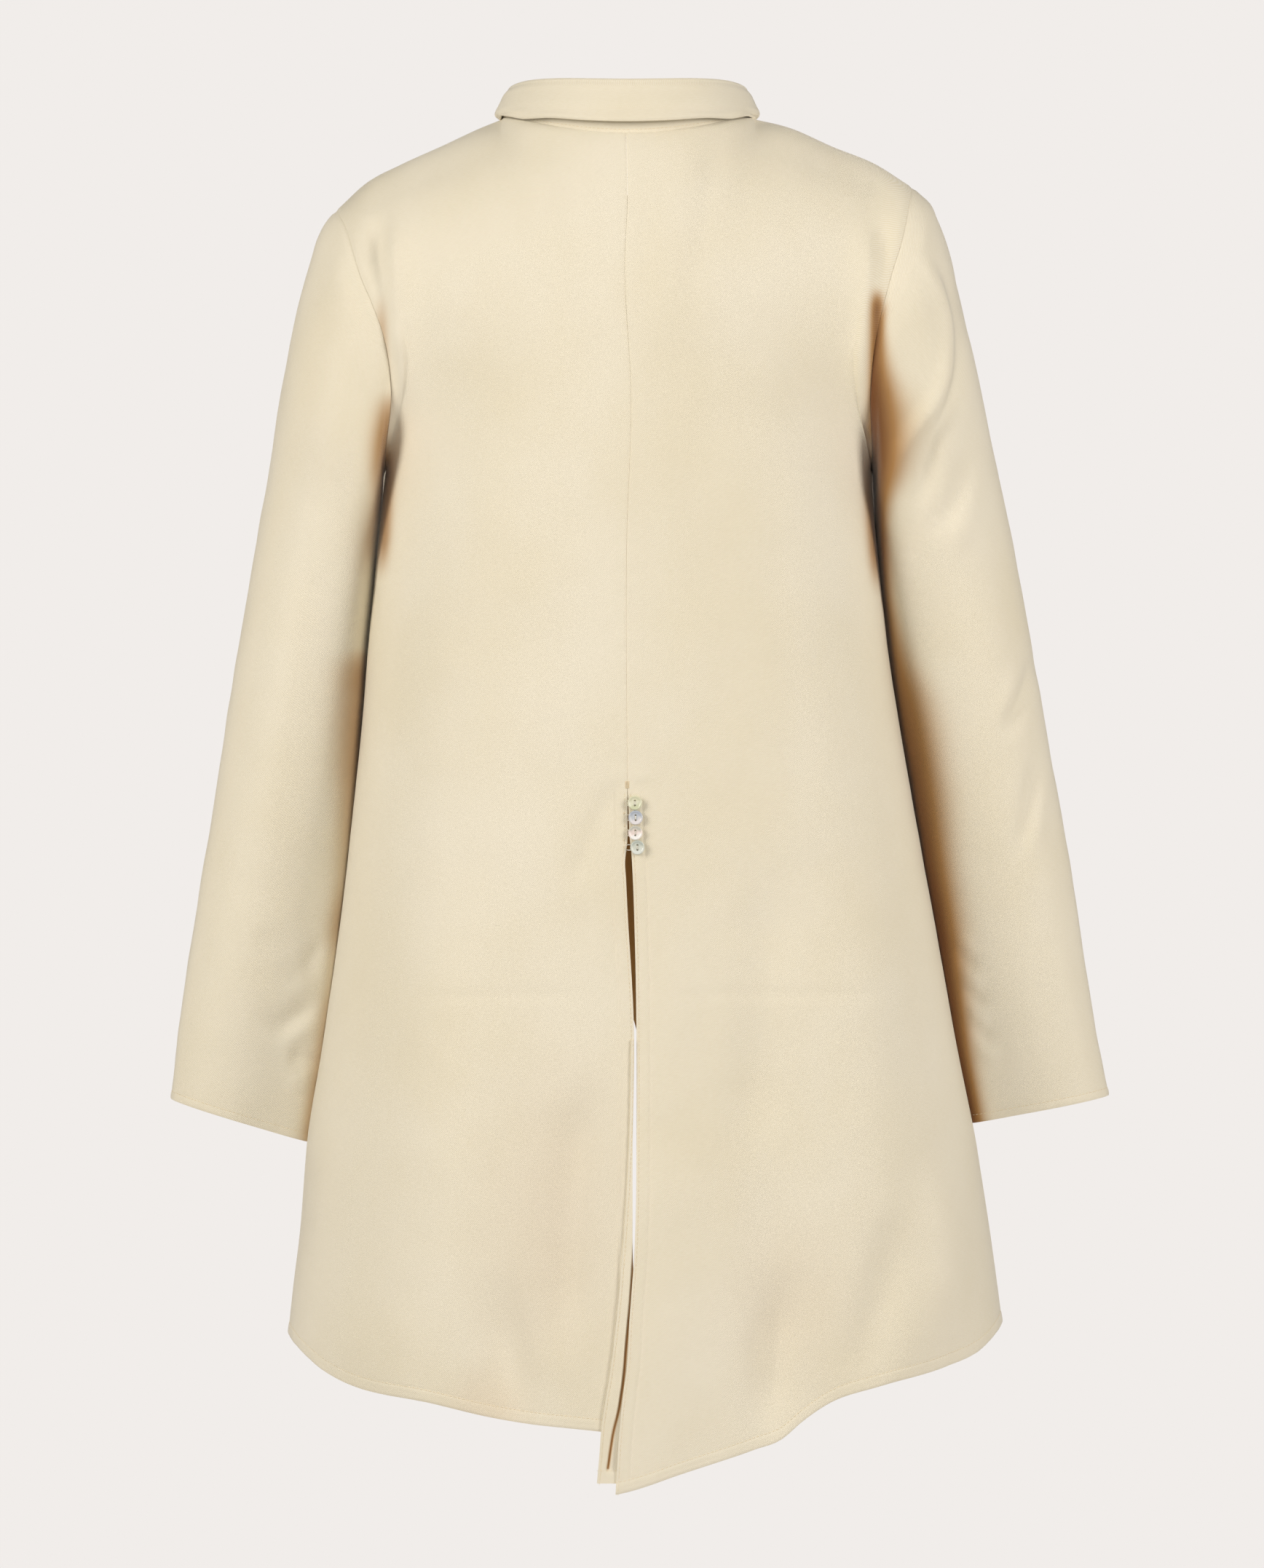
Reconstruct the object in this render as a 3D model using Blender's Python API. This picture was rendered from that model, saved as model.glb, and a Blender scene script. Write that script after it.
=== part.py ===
# Long linen shirt with a buttoned slit in the back, in the hollow shape it keeps when worn.
# Sizes are in millimetres and become metres in the meshes. +Z is up, the front faces -Y
# and the wearer's left side is +X. The origin lies midway between the shoulders, level with
# the sides of the neck, where the wearer carries the shirt. "down" is a distance below it.

import math

import bmesh
import bpy
import numpy as np
from mathutils import Matrix, Vector
from mathutils.bvhtree import BVHTree

MM = 0.001
LEFT, RIGHT = 1, -1
BACK, FRONT = 1, -1

# Cloth and seams
WALL = 1.2            # thickness of one layer of cloth
SEAM = 0.3            # parting between two sewn pieces
LAP_STEP = 1.8        # an under layer lies this far inside the layer on top
LAP = (18.0, 38.0)    # it sinks between these distances from the middle
FALL_WALL = 1.4       # the collar's fall, two layers pressed together

# Body: the ring at a height has a half width for each side and a depth for each face
CHEST_DOWN = 150.0    # line where the shoulder curves end
UNDERARM_DOWN = 240.0
SMOOTH_DOWN = 270.0   # below this line the rings are plain ovals
TACK_DOWN = 457.0     # bar tack at the foot of the centre-back seam
ARMHOLE_DEPTH = 55.0  # from the armhole's mid line to its back or front edge
SQUARENESS = 0.15     # how far the ovals fill out towards their corners
SHOULDER_Y = -6.0     # the shoulder seams lie a little to the front

# Half width at the armhole seam and, lower down, at the side seam: down, half width
SIDE = {
    LEFT: ((62, 200.5), (76, 192.5), (93, 187), (112, 181), (131, 173), (150, 166), (190, 160),
           (240, 166), (320, 174), (400, 181), (480, 188.5), (560, 198), (640, 210),
           (700, 219.5), (760, 224.5), (832, 232.5)),
    RIGHT: ((45.5, 195), (61, 192), (90, 185.5), (107, 180), (129, 174), (150, 169), (190, 164.5),
            (240, 167), (320, 173.5), (400, 183.5), (480, 197.5), (560, 212), (640, 226.5),
            (700, 238.5), (760, 248), (825, 257)),
}
# Depth of the body from its side seams: down, to the back, to the front
DEPTH = ((150, 98, 88), (240, 102, 104), (320, 103, 110), (400, 105, 111), (560, 112, 116),
         (700, 121, 123), (850, 130, 130), (930, 133, 133))
# Shoulder seams: distance from the middle, down
SHOULDER = {
    LEFT: ((86, -1), (101, 5), (126.5, 17), (155.5, 30), (180, 43), (200.5, 62)),
    RIGHT: ((86, -1), (111.5, 5), (140, 17.5), (170.5, 30), (195, 45.5)),
}
NECK_HALF = 86.0      # half width of the neckline
NECK_SHARE = 0.43     # share of a panel's top edge, counted in columns, that is neckline
# The neckline's reach from the side line, its drop, and how roundly it drops (0 to 1)
NECK = {BACK: {"reach": 62.0, "drop": 16.0, "round": 0.6},
        FRONT: {"reach": 78.0, "drop": 72.0, "round": 0.9}}

# Hem: distance from the middle, down
HEM = {
    (LEFT, BACK): ((-20, 888), (30, 883), (78, 878), (127, 868), (208, 849), (232.5, 832)),
    (RIGHT, BACK): ((-20, 927), (-6, 925), (36, 912), (84, 897), (104, 890), (116, 880),
                    (133, 868), (167, 857), (213, 847), (240, 838), (257, 825)),
    (LEFT, FRONT): ((-20, 876), (60, 873), (140, 860), (200, 843), (232.5, 832)),
    (RIGHT, FRONT): ((-20, 876), (60, 873), (150, 858), (220, 837), (257, 825)),
}
# Centre-back seam, as far as the bar tack: down, distance to the wearer's left
CENTRE_SEAM = ((16, 1), (60, 0), (105, 1.8), (200, -2.4), (290, 0.4), (457, 0.4))
# Free centre edge of each panel: down, distance from the middle towards the panel's own side
CENTRE = {
    (LEFT, BACK): ((457, 0.4), (470, 1.2), (500, 1.6), (520, 0.9), (550, -0.6), (579, -2.5),
                   (608, -4), (700, -3.5), (770, -3.5), (800, -5), (831, -8), (888, -12)),
    (RIGHT, BACK): ((457, -0.4), (470, 0.8), (500, 2.5), (562, 4.9), (688, 5.9), (742, 5.4),
                    (767, 4.5), (797, 2.3), (813, 1.1), (841, -0.4), (858, -2.8), (884, -5.5),
                    (923, -7.9)),
    (LEFT, FRONT): ((72, -14), (540, -14), (560, -13), (590, -6), (630, 6), (700, 18), (800, 30),
                    (875, 36)),
    (RIGHT, FRONT): ((72, -14), (540, -14), (560, -13), (590, -6), (630, 6), (700, 18), (800, 30),
                     (875, 36)),
}
# Largest soft folds of the body, from a top to a bottom point:
# side, face, x top, down top, x bottom, down bottom, half width, height (below 0 for a hollow)
FOLDS = (
    (LEFT, BACK, 158, 85, 156, 200, 11, 5.0),
    (LEFT, BACK, 173, 80, 164, 150, 9, -5.0),
    (RIGHT, BACK, 163, 85, 164, 235, 11, 5.0),
    (RIGHT, BACK, 176, 80, 170, 150, 9, -5.0),
    (RIGHT, BACK, 92, 640, 112, 900, 26, -5.0),
    (RIGHT, BACK, 150, 560, 176, 880, 34, 5.0),
    (LEFT, BACK, 120, 560, 150, 880, 36, 4.0),
    (LEFT, FRONT, 120, 330, 140, 880, 32, 6.0),
    (LEFT, FRONT, 70, 420, 78, 880, 26, -5.0),
    (RIGHT, FRONT, 126, 330, 152, 880, 32, 6.0),
    (RIGHT, FRONT, 72, 420, 84, 880, 26, -5.0),
)
FOLD_FADE = 14.0      # folds die out this close to a sewn edge
FOLD_ENDS = 0.35      # share of a fold's length over which its ends rise

# Turned-out slit edge: down, its finished edge, the fold it hangs from (left of the middle)
TURNED = ((626, -2.6, -3.9), (690, -1.2, -3.4), (735, 1.0, -3.4), (767, 3.4, -3.5), (800, 6.2, -5),
          (845, 11.5, -8.5), (880, 17.0, -11), (905, 19.0, -12.5), (918, 20.2, -13))
TURNED_STEP = 0.3     # it lies this far off the panel under it
LIFT = 3.4            # the right panel rises this far to lie over the turned edge
LIFT_DOWN = (680.0, 745.0)    # it rises between these heights
LIFT_WIDTH = (16.0, 62.0)     # and sinks back between these distances from the middle

# Sleeves: outer line of the sleeve: down, distance from the middle
SLEEVE_OUTER = {
    LEFT: ((62, 200.5), (67.5, 206), (80, 213), (92.5, 217), (117.5, 224.5), (167.5, 235.5),
           (242.5, 248.5), (317.5, 261.5), (417.5, 278.5), (517.5, 294.5), (617.5, 310.5),
           (674, 316.5)),
    RIGHT: ((45.5, 195), (55, 207), (67.5, 213), (92.5, 222), (117.5, 228), (167.5, 240.5),
            (217.5, 251), (317.5, 272), (417.5, 290), (517.5, 307.5), (617.5, 323),
            (671.5, 333.5)),
}
CUFF_DOWN = {LEFT: (674.0, 703.0), RIGHT: (671.5, 690.0)}    # outer and inner end of the cuff
# Share of the sleeve's length, how far forward it hangs, half depth, gap to the body's side
SLEEVE = ((0.0, 0, 55, 0.0), (0.04, 2, 59, 1.6), (0.1, 8, 62, 1.4), (0.3, 24, 58, 0.4),
          (0.6, 32, 48, -0.2), (1.0, 34, 30, -1.5))
SLEEVE_BLEND = 0.22   # the armhole's own outline has died out at this share
SLEEVE_BOX = 0.4      # how square the sleeve's side next to the body is, reached at a share of
SLEEVE_BOX_SHARE = 0.25    # its length

# Collar
STAND = {BACK: 34.5, FRONT: 26.0}   # height of the stand at the middle of each face
STAND_SIDE = 23.0                   # and at the sides of the neck
STAND_LEAN = 6.0                    # the stand leans this far in towards the neck
FALL_LENGTH = {BACK: 30.0, FRONT: 60.0}
FALL_SIDE = 23.0
FALL_GAP = {BACK: 9.0, FRONT: 7.0}  # how far the fall stands off the neck seam
FALL_GAP_SIDE = 7.0
FALL_REST = 3.0                     # and off the panel it lies on
FALL_START = 13.0                   # its front ends stay this far from the middle
FRONT_CROWN = 1.0                   # the fold rides this much higher where the neckline slopes
POINT_SPREAD = 0.2                  # how far the collar points slant outwards, in columns

# Buttons: 16 line, two holes
BUTTON = {"radius": 4.8, "rim": 4.2, "dish": 3.0, "rim_high": 2.0, "dish_high": 1.5}
HOLE = {"radius": 0.75, "apart": 3.1}
BACK_BUTTONS = ((-4.9, 468.6), (-5.4, 478.4), (-5.2, 488.5), (-6.6, 498.2))  # x, down
LOOP = {"radius": 0.4, "start": 4.0, "half": 2.2}
FRONT_BUTTON_DOWN = (96, 182, 268, 354, 440, 526)

# Fineness of the lofts
NECK_COLUMNS = 5
SHOULDER_COLUMNS = 7
UPPER_ROWS, ARMHOLE_ROWS, WAIST_ROWS, SKIRT_ROWS = 6, 4, 5, 8
SLEEVE_RINGS = 16


def along(table, column, place):
    """Value of a table's column on the smooth curve through its rows; column 0 is the place."""
    knots = np.array([row[0] for row in table], float)
    values = np.array([row[column] for row in table], float)
    slopes = np.gradient(values, knots)
    place = np.clip(place, knots[0], knots[-1])
    i = np.clip(np.searchsorted(knots, place, side="right") - 1, 0, len(knots) - 2)
    step = knots[i + 1] - knots[i]
    t = (place - knots[i]) / step
    start = (1 + 2 * t) * values[i] + t * step * slopes[i]
    end = (3 - 2 * t) * values[i + 1] + (t - 1) * step * slopes[i + 1]
    return (1 - t) ** 2 * start + t ** 2 * end


def ease(value):
    """Smooth step from 0 to 1."""
    value = np.clip(value, 0.0, 1.0)
    return value * value * (3 - 2 * value)


def unit(vectors):
    return vectors / np.linalg.norm(vectors, axis=-1, keepdims=True)


def oval(angle):
    """Share of the ring's depth at an angle from its middle."""
    return np.cos(angle) * (1 + SQUARENESS * np.sin(angle) ** 2)


def top_edge(side, face, column):
    """Neckline and then shoulder seam: x, depth and down of a panel's top edge."""
    turn = column / NECK_SHARE * math.pi / 2
    shoulder = face * SHOULDER_Y
    neck_cos = np.cos(np.clip(turn, -math.pi / 2, math.pi / 2))
    neck_x = NECK_HALF * np.sin(turn)
    neck_y = shoulder + (NECK[face]["reach"] - shoulder) * neck_cos
    side_down = SHOULDER[side][0][1]
    roundness = NECK[face]["round"]
    dip = (1 - np.sqrt(1 - (roundness * neck_cos) ** 2)) / (1 - math.sqrt(1 - roundness ** 2))
    neck_down = side_down + (NECK[face]["drop"] - side_down) * dip
    tip = SHOULDER[side][-1][0]
    seam_x = NECK_HALF + (tip - NECK_HALF) * (column - NECK_SHARE) / (1 - NECK_SHARE)
    on_neck = column < NECK_SHARE
    x = np.where(on_neck, neck_x, seam_x)
    y = np.where(on_neck, neck_y, shoulder)
    down = np.where(on_neck, neck_down, along(SHOULDER[side], 1, seam_x))
    return x, y, down


def body(side, face, column, row):
    """Point on the outside of the body. column: 0 middle, 1 armhole or side seam.
    row: 0 top edge, 1 chest line, 2 underarm, 3 bar tack, 4 hem."""
    column, row = np.broadcast_arrays(np.asarray(column, float), np.asarray(row, float))
    angle = column * math.pi / 2
    # Rings below the chest line
    drop = np.clip(row - 1, 0, 1) * math.pi / 2
    hem_x = SIDE[side][-1][1] * np.sin(angle)
    hem = along(HEM[side, face], 1, hem_x)
    down = CHEST_DOWN + (UNDERARM_DOWN - CHEST_DOWN) * np.sin(drop)
    down = down + (TACK_DOWN - UNDERARM_DOWN) * np.clip(row - 2, 0, 1)
    down = down + (hem - TACK_DOWN) * np.clip(row - 3, 0, None)
    flat = 1 - ease((down - CHEST_DOWN) / (SMOOTH_DOWN - CHEST_DOWN))
    spread = (1 - flat) * np.sin(angle) + flat * column
    ring_x = along(SIDE[side], 1, down) * spread
    edge_y = ARMHOLE_DEPTH * np.cos(drop)
    depth = along(DEPTH, 1 if face == BACK else 2, down)
    near_edge = np.clip(1 - oval(angle), 0, None) ** (1 + 5 * np.sin(drop) ** 2)
    ring_y = depth * oval(angle) + edge_y * near_edge
    # Shoulder and neck above it, as quarter ovals from the top edge to the chest line
    top_x, top_y, top_down = top_edge(side, face, column)
    turn = np.clip(row, -0.5, 1) * math.pi / 2
    power = 1 + 0.5 * np.clip(1 - column / NECK_SHARE, 0, 1)
    out = np.sign(np.sin(turn)) * np.abs(np.sin(turn)) ** power
    fall = 1 - np.abs(np.cos(turn)) ** power
    tip_x, tip_down = SHOULDER[side][-1]
    edge_down = tip_down + (CHEST_DOWN - tip_down) * (1 - np.cos(turn))
    chest_x = along(SIDE[side], 1, CHEST_DOWN)
    pull = (along(SIDE[side], 1, edge_down) - tip_x) / (chest_x - tip_x)
    upper = row < 1
    x = np.where(upper, top_x + (ring_x - top_x) * pull, ring_x)
    y = np.where(upper, top_y + (ring_y - top_y) * out, ring_y)
    down = np.where(upper, top_down + (CHEST_DOWN - top_down) * fall, down)
    return np.stack([side * x, face * y, -down], axis=-1)


def body_normal(side, face, column, row):
    """Outward direction on the body; over the shoulder seam it looks at both faces."""
    column, row = np.broadcast_arrays(np.asarray(column, float), np.asarray(row, float))
    across = body(side, face, column + 0.004, row) - body(side, face, column - 0.004, row)
    above = np.where(column < NECK_SHARE - 0.001, np.maximum(row - 0.02, 0), row - 0.02)
    below = body(side, face, column, row + 0.02) - body(side, face, column, above)
    return unit(side * face * np.cross(across, below))


def fold_height(side, face, points, edge_distance):
    """Height of the soft folds at points on a panel."""
    x = side * points[..., 0]
    down = -points[..., 2]
    height = np.zeros(x.shape)
    for fold_side, fold_face, x0, down0, x1, down1, half, high in FOLDS:
        if (fold_side, fold_face) != (side, face):
            continue
        span = np.array([x1 - x0, down1 - down0], float)
        length = np.hypot(*span)
        way = ((x - x0) * span[0] + (down - down0) * span[1]) / length ** 2
        off = ((x - x0) * span[1] - (down - down0) * span[0]) / length
        ends = ease(way / FOLD_ENDS + 0.5) * ease((1 - way) / FOLD_ENDS + 0.5)
        height += high * ends * np.exp(-(off / half) ** 2)
    return height * ease(edge_distance / FOLD_FADE)


def centre_column(side, face, row):
    """Column of a panel's centre edge at each row."""
    step = 0.01
    middle = body(side, face, 0.0, row)
    pace = side * (body(side, face, step, row) - middle)[..., 0] / step
    down = -middle[..., 2]
    edge = along(CENTRE[side, face], 1, down)
    if face == BACK:
        edge = np.where(down < TACK_DOWN, side * along(CENTRE_SEAM, 1, down), edge)
    return edge / pace


def panel_columns(side, face, row):
    """Columns of a panel's grid: they follow its centre edge and even out at the neck's side."""
    neck = np.linspace(0, NECK_SHARE, NECK_COLUMNS + 1)
    shoulder = np.linspace(NECK_SHARE, 1, SHOULDER_COLUMNS + 1)[1:]
    columns = np.concatenate([neck, shoulder])
    shift = np.clip(1 - columns / NECK_SHARE, 0, 1)
    return columns[None, :] + centre_column(side, face, row)[:, None] * shift[None, :]


def panel_rows():
    upper = np.linspace(0, 1, UPPER_ROWS + 1)
    armhole = np.linspace(1, 2, ARMHOLE_ROWS + 1)[1:]
    waist = np.linspace(2, 3, WAIST_ROWS + 1)[1:]
    skirt = np.linspace(3, 4, SKIRT_ROWS + 1)[1:]
    return np.concatenate([upper, armhole, waist, skirt])


def lap_share(own):
    """How much of an under layer's step is reached at a distance from the middle."""
    return ease((LAP[1] - own) / (LAP[1] - LAP[0]))


def layer_step(side, face, points):
    """How far a panel leaves the body's surface where two panels lap."""
    own = side * points[..., 0]
    down = -points[..., 2]
    if (side, face) == (LEFT, FRONT):
        return -LAP_STEP * lap_share(own)
    if (side, face) == (RIGHT, BACK):
        risen = ease((down - LIFT_DOWN[0]) / (LIFT_DOWN[1] - LIFT_DOWN[0]))
        return LIFT * risen * ease((LIFT_WIDTH[1] - own) / (LIFT_WIDTH[1] - LIFT_WIDTH[0]))
    return np.zeros(own.shape)


def panel_surface(side, face):
    """Outer points and outward directions of a panel's grid."""
    row = panel_rows()
    column = panel_columns(side, face, row)
    row = row[:, None] + np.zeros(column.shape)
    points = body(side, face, column, row)
    normals = body_normal(side, face, column, row)
    chest_x = along(SIDE[side], 1, CHEST_DOWN)
    sewn = (1 - column) * np.where(row <= 2, chest_x, 2 * chest_x)
    from_top = row * (CHEST_DOWN - 20)
    height = fold_height(side, face, points, np.minimum(sewn, from_top))
    height = height + layer_step(side, face, points)
    return points + normals * height[..., None], normals


def mitre(own, other):
    """Shared direction for two pieces that meet at a seam and turn a corner there."""
    agree = np.clip(np.sum(own * other, axis=-1, keepdims=True), 0, 1)
    return unit(own + agree * other)


def pulled(grid, shift_from, edge, amount):
    """The grid with one edge moved back into its own cloth, for the parting at a seam."""
    grid = grid.copy()
    inner = {"top": (0, 1), "bottom": (-1, -2)}.get(edge)
    if inner:
        toward = unit(shift_from[inner[1]] - shift_from[inner[0]])
        grid[inner[0]] += toward * amount
        return grid
    inner = {"start": (0, 1), "end": (-1, -2)}[edge]
    toward = unit(shift_from[:, inner[1]] - shift_from[:, inner[0]])
    grid[:, inner[0]] += toward * amount
    return grid


def parted(outer, inner, edges):
    """Both faces of a wall, drawn back from the edges where it is sewn to a neighbour."""
    for edge in edges:
        outer, inner = pulled(outer, outer, edge, SEAM / 2), pulled(inner, outer, edge, SEAM / 2)
    return outer, inner


def wall_mesh(name, outer, inner, ring=False):
    """Closed wall between an outer and an inner grid of points."""
    rows, columns = outer.shape[:2]
    points = np.concatenate([outer.reshape(-1, 3), inner.reshape(-1, 3)]) * MM
    count = rows * columns

    def at(r, c, layer):
        return layer * count + r * columns + c % columns

    faces = []
    last = columns if ring else columns - 1
    for r in range(rows - 1):
        for c in range(last):
            faces.append((at(r, c, 0), at(r + 1, c, 0), at(r + 1, c + 1, 0), at(r, c + 1, 0)))
            faces.append((at(r, c, 1), at(r, c + 1, 1), at(r + 1, c + 1, 1), at(r + 1, c, 1)))
    for c in range(last):
        faces.append((at(0, c, 0), at(0, c + 1, 0), at(0, c + 1, 1), at(0, c, 1)))
        end = rows - 1
        faces.append((at(end, c, 0), at(end, c, 1), at(end, c + 1, 1), at(end, c + 1, 0)))
    if not ring:
        for r in range(rows - 1):
            end = columns - 1
            faces.append((at(r, 0, 0), at(r, 0, 1), at(r + 1, 0, 1), at(r + 1, 0, 0)))
            faces.append((at(r, end, 0), at(r + 1, end, 0), at(r + 1, end, 1), at(r, end, 1)))
    mesh = bpy.data.meshes.new(name)
    mesh.from_pydata(points.tolist(), [], faces)
    work = bmesh.new()
    work.from_mesh(mesh)
    bmesh.ops.recalc_face_normals(work, faces=work.faces)
    work.to_mesh(mesh)
    work.free()
    mesh.shade_smooth()
    mesh.set_sharp_from_angle(angle=math.radians(50))
    return mesh


def material(name, colour, roughness):
    """Principled material with an sRGB colour given as 0 to 255."""
    made = bpy.data.materials.new(name)
    made.use_nodes = True
    shader = made.node_tree.nodes["Principled BSDF"]
    linear = [(value / 255) ** 2.2 for value in colour]
    shader.inputs["Base Color"].default_value = (*linear, 1)
    shader.inputs["Roughness"].default_value = roughness
    shader.inputs["Metallic"].default_value = 0.0
    made.diffuse_color = (*linear, 1)
    return made


def add_object(collection, name, mesh, finish):
    made = bpy.data.objects.new(name, mesh)
    mesh.materials.append(material(name + "_finish", *finish))
    collection.objects.link(made)
    return made


def armhole_ring(back, front):
    """Loop round an armhole: the back panel's edge down to the underarm, then the front's up."""
    seam = UPPER_ROWS + ARMHOLE_ROWS
    return np.concatenate([back[:seam + 1], front[1:seam][::-1]])


def sleeve_surface(side, armhole):
    """Rings of a sleeve, from the armhole's outline to the cuff."""
    count = len(armhole)
    turn = np.arange(count) * 2 * math.pi / count
    share = np.linspace(0, 1, SLEEVE_RINGS + 1) ** 1.25
    tip_x, tip_down = SLEEVE_OUTER[side][0][1], SLEEVE_OUTER[side][0][0]
    outer_end, inner_end = CUFF_DOWN[side]
    outer_down = tip_down + (outer_end - tip_down) * share
    inner_down = UNDERARM_DOWN + (inner_end - UNDERARM_DOWN) * share ** 1.6
    outer_x = along(SLEEVE_OUTER[side], 1, outer_down)
    inner_x = along(SIDE[side], 1, inner_down) + along(SLEEVE, 3, share)
    forward = along(SLEEVE, 1, share)
    depth = along(SLEEVE, 2, share)
    middle_x, half_x = (outer_x + inner_x) / 2, (outer_x - inner_x) / 2
    middle_down, half_down = (outer_down + inner_down) / 2, (outer_down - inner_down) / 2
    power = 1 - SLEEVE_BOX * ease(share / SLEEVE_BOX_SHARE)[:, None] * (np.cos(turn) < 0)
    wide = np.sign(np.cos(turn)) * np.abs(np.cos(turn)) ** power
    deep = np.sign(np.sin(turn)) * np.abs(np.sin(turn)) ** power
    x = middle_x[:, None] + half_x[:, None] * wide
    down = middle_down[:, None] + half_down[:, None] * wide
    y = -forward[:, None] + depth[:, None] * deep
    rings = np.stack([side * x, y, -down], axis=-1)
    fade = 1 - ease(share / SLEEVE_BLEND)
    return rings + (armhole - rings[0])[None] * fade[:, None, None]


def ring_normals(rings, side):
    """Outward directions on rings of points that run round a tube."""
    around = np.roll(rings, -1, axis=1) - np.roll(rings, 1, axis=1)
    lengthwise = np.gradient(rings, axis=0)
    return unit(side * np.cross(lengthwise, around))


def make_body_and_sleeves(collection, cloth):
    """Back and front panels and the sleeves, which share their seam points."""
    seam = UPPER_ROWS + ARMHOLE_ROWS
    names = {BACK: "back", FRONT: "front"}
    for side, word in ((LEFT, "left"), (RIGHT, "right")):
        panels = {face: panel_surface(side, face) for face in (BACK, FRONT)}
        loop = armhole_ring(panels[BACK][0][:, -1], panels[FRONT][0][:, -1])
        loop_normals = armhole_ring(panels[BACK][1][:, -1], panels[FRONT][1][:, -1])
        rings = sleeve_surface(side, loop)
        normals = ring_normals(rings, side)
        first = normals[0].copy()
        normals[0] = mitre(first, loop_normals)
        outer, inner = parted(rings, rings - normals * WALL, ("top",))
        mesh = wall_mesh("sleeve_" + word, outer, inner, ring=True)
        add_object(collection, "sleeve_" + word, mesh, cloth)
        for face in (BACK, FRONT):
            points, panel_normals = panels[face]
            if face == BACK:
                sleeve_side = first[:seam + 1]
            else:
                sleeve_side = np.concatenate([first[:1], first[seam:][::-1]])
            panel_normals = panel_normals.copy()
            panel_normals[:seam + 1, -1] = mitre(panel_normals[:seam + 1, -1], sleeve_side)
            edges = ("top", "end", "start") if face == BACK else ("top", "end")
            outer, inner = parted(points, points - panel_normals * WALL, edges)
            name = names[face] + "_" + word
            add_object(collection, name, wall_mesh(name, outer, inner), cloth)


def make_turned_edge(collection, cloth):
    """Slit edge of the left back panel, folded outwards and lying on the panel."""
    down = np.linspace(TURNED[0][0], TURNED[-1][0], 13)
    share = np.linspace(0, 1, 5)
    finished = along(TURNED, 1, down)
    fold = along(TURNED, 2, down)
    x = fold[:, None] + (finished - fold)[:, None] * share
    down = down[:, None] + np.zeros(x.shape)
    under = back_point(x, down)
    normals = np.zeros(under.shape)
    normals[..., 1] = 1.0
    inner = under + normals * TURNED_STEP
    outer = inner + normals * WALL
    mesh = wall_mesh("back_turned_edge", outer, inner)
    add_object(collection, "back_turned_edge", mesh, cloth)


def back_point(x, down):
    """Point on the back near its middle, below the chest."""
    half = along(SIDE[LEFT], 1, down)
    angle = np.arcsin(np.clip(x / half, -1, 1))
    y = along(DEPTH, 1, down) * oval(angle)
    return np.stack([x + np.zeros(y.shape), y, -down + np.zeros(y.shape)], axis=-1)


def neck_stations():
    """Side, face and column of each point along the neckline, from the right front's lap
    round the back to the left front's lap."""
    stations = []
    zero = np.zeros(1)
    for side, face, forward in ((RIGHT, FRONT, True), (RIGHT, BACK, False),
                                (LEFT, BACK, True), (LEFT, FRONT, False)):
        columns = panel_columns(side, face, zero)[0, :NECK_COLUMNS + 1]
        if face == BACK:
            columns = np.linspace(0, NECK_SHARE, NECK_COLUMNS + 1)
        order = columns if forward else columns[::-1]
        run = [(side, face, value) for value in order]
        stations += run if not stations else run[1:]
    return stations


def neck_frame(side, face, column):
    """Base point on the neckline, direction away from the neck and the two collar heights."""
    base = body(side, face, column, 0.0)
    away = unit(np.array([base[0], base[1] * 1.25 + 8.0, 0.0]))
    turn = np.clip(column / NECK_SHARE, -1, 1) * math.pi / 2
    middle = np.cos(turn)
    height = STAND_SIDE + (STAND[face] - STAND_SIDE) * middle ** 1.5
    length = FALL_SIDE + (FALL_LENGTH[face] - FALL_SIDE) * middle ** 2.2
    gap = FALL_GAP_SIDE + (FALL_GAP[face] - FALL_GAP_SIDE) * middle
    top = base + np.array([0, 0, height]) - away * STAND_LEAN
    return base, top, away, length, gap


def make_stand(collection, cloth):
    """Neck band, one strip whose right end laps over its left end at the front."""
    outer, inner = [], []
    shares = (0.0, 0.5, 1.0)
    for side, face, column in neck_stations():
        base, top, away, _, _ = neck_frame(side, face, column)
        own = side * base[0]
        if (side, face) == (LEFT, FRONT):
            base = base - away * LAP_STEP * float(lap_share(own))
            top = top - away * LAP_STEP * float(lap_share(own))
        line = [base + (top - base) * share for share in shares]
        outer.append(line)
        inner.append([point - away * WALL for point in line])
    outer = np.array(outer).transpose(1, 0, 2)
    inner = np.array(inner).transpose(1, 0, 2)
    outer, inner = parted(outer, inner, ("top",))
    add_object(collection, "collar_stand", wall_mesh("collar_stand", outer, inner), cloth)


def down_the_panel(side, face, column, distance):
    """Row of a panel at a distance below its top edge."""
    rows = np.linspace(0, 1, 41)
    line = body(side, face, column, rows)
    gone = np.concatenate([[0], np.cumsum(np.linalg.norm(np.diff(line, axis=0), axis=1))])
    return float(np.interp(distance, gone, rows))


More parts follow.
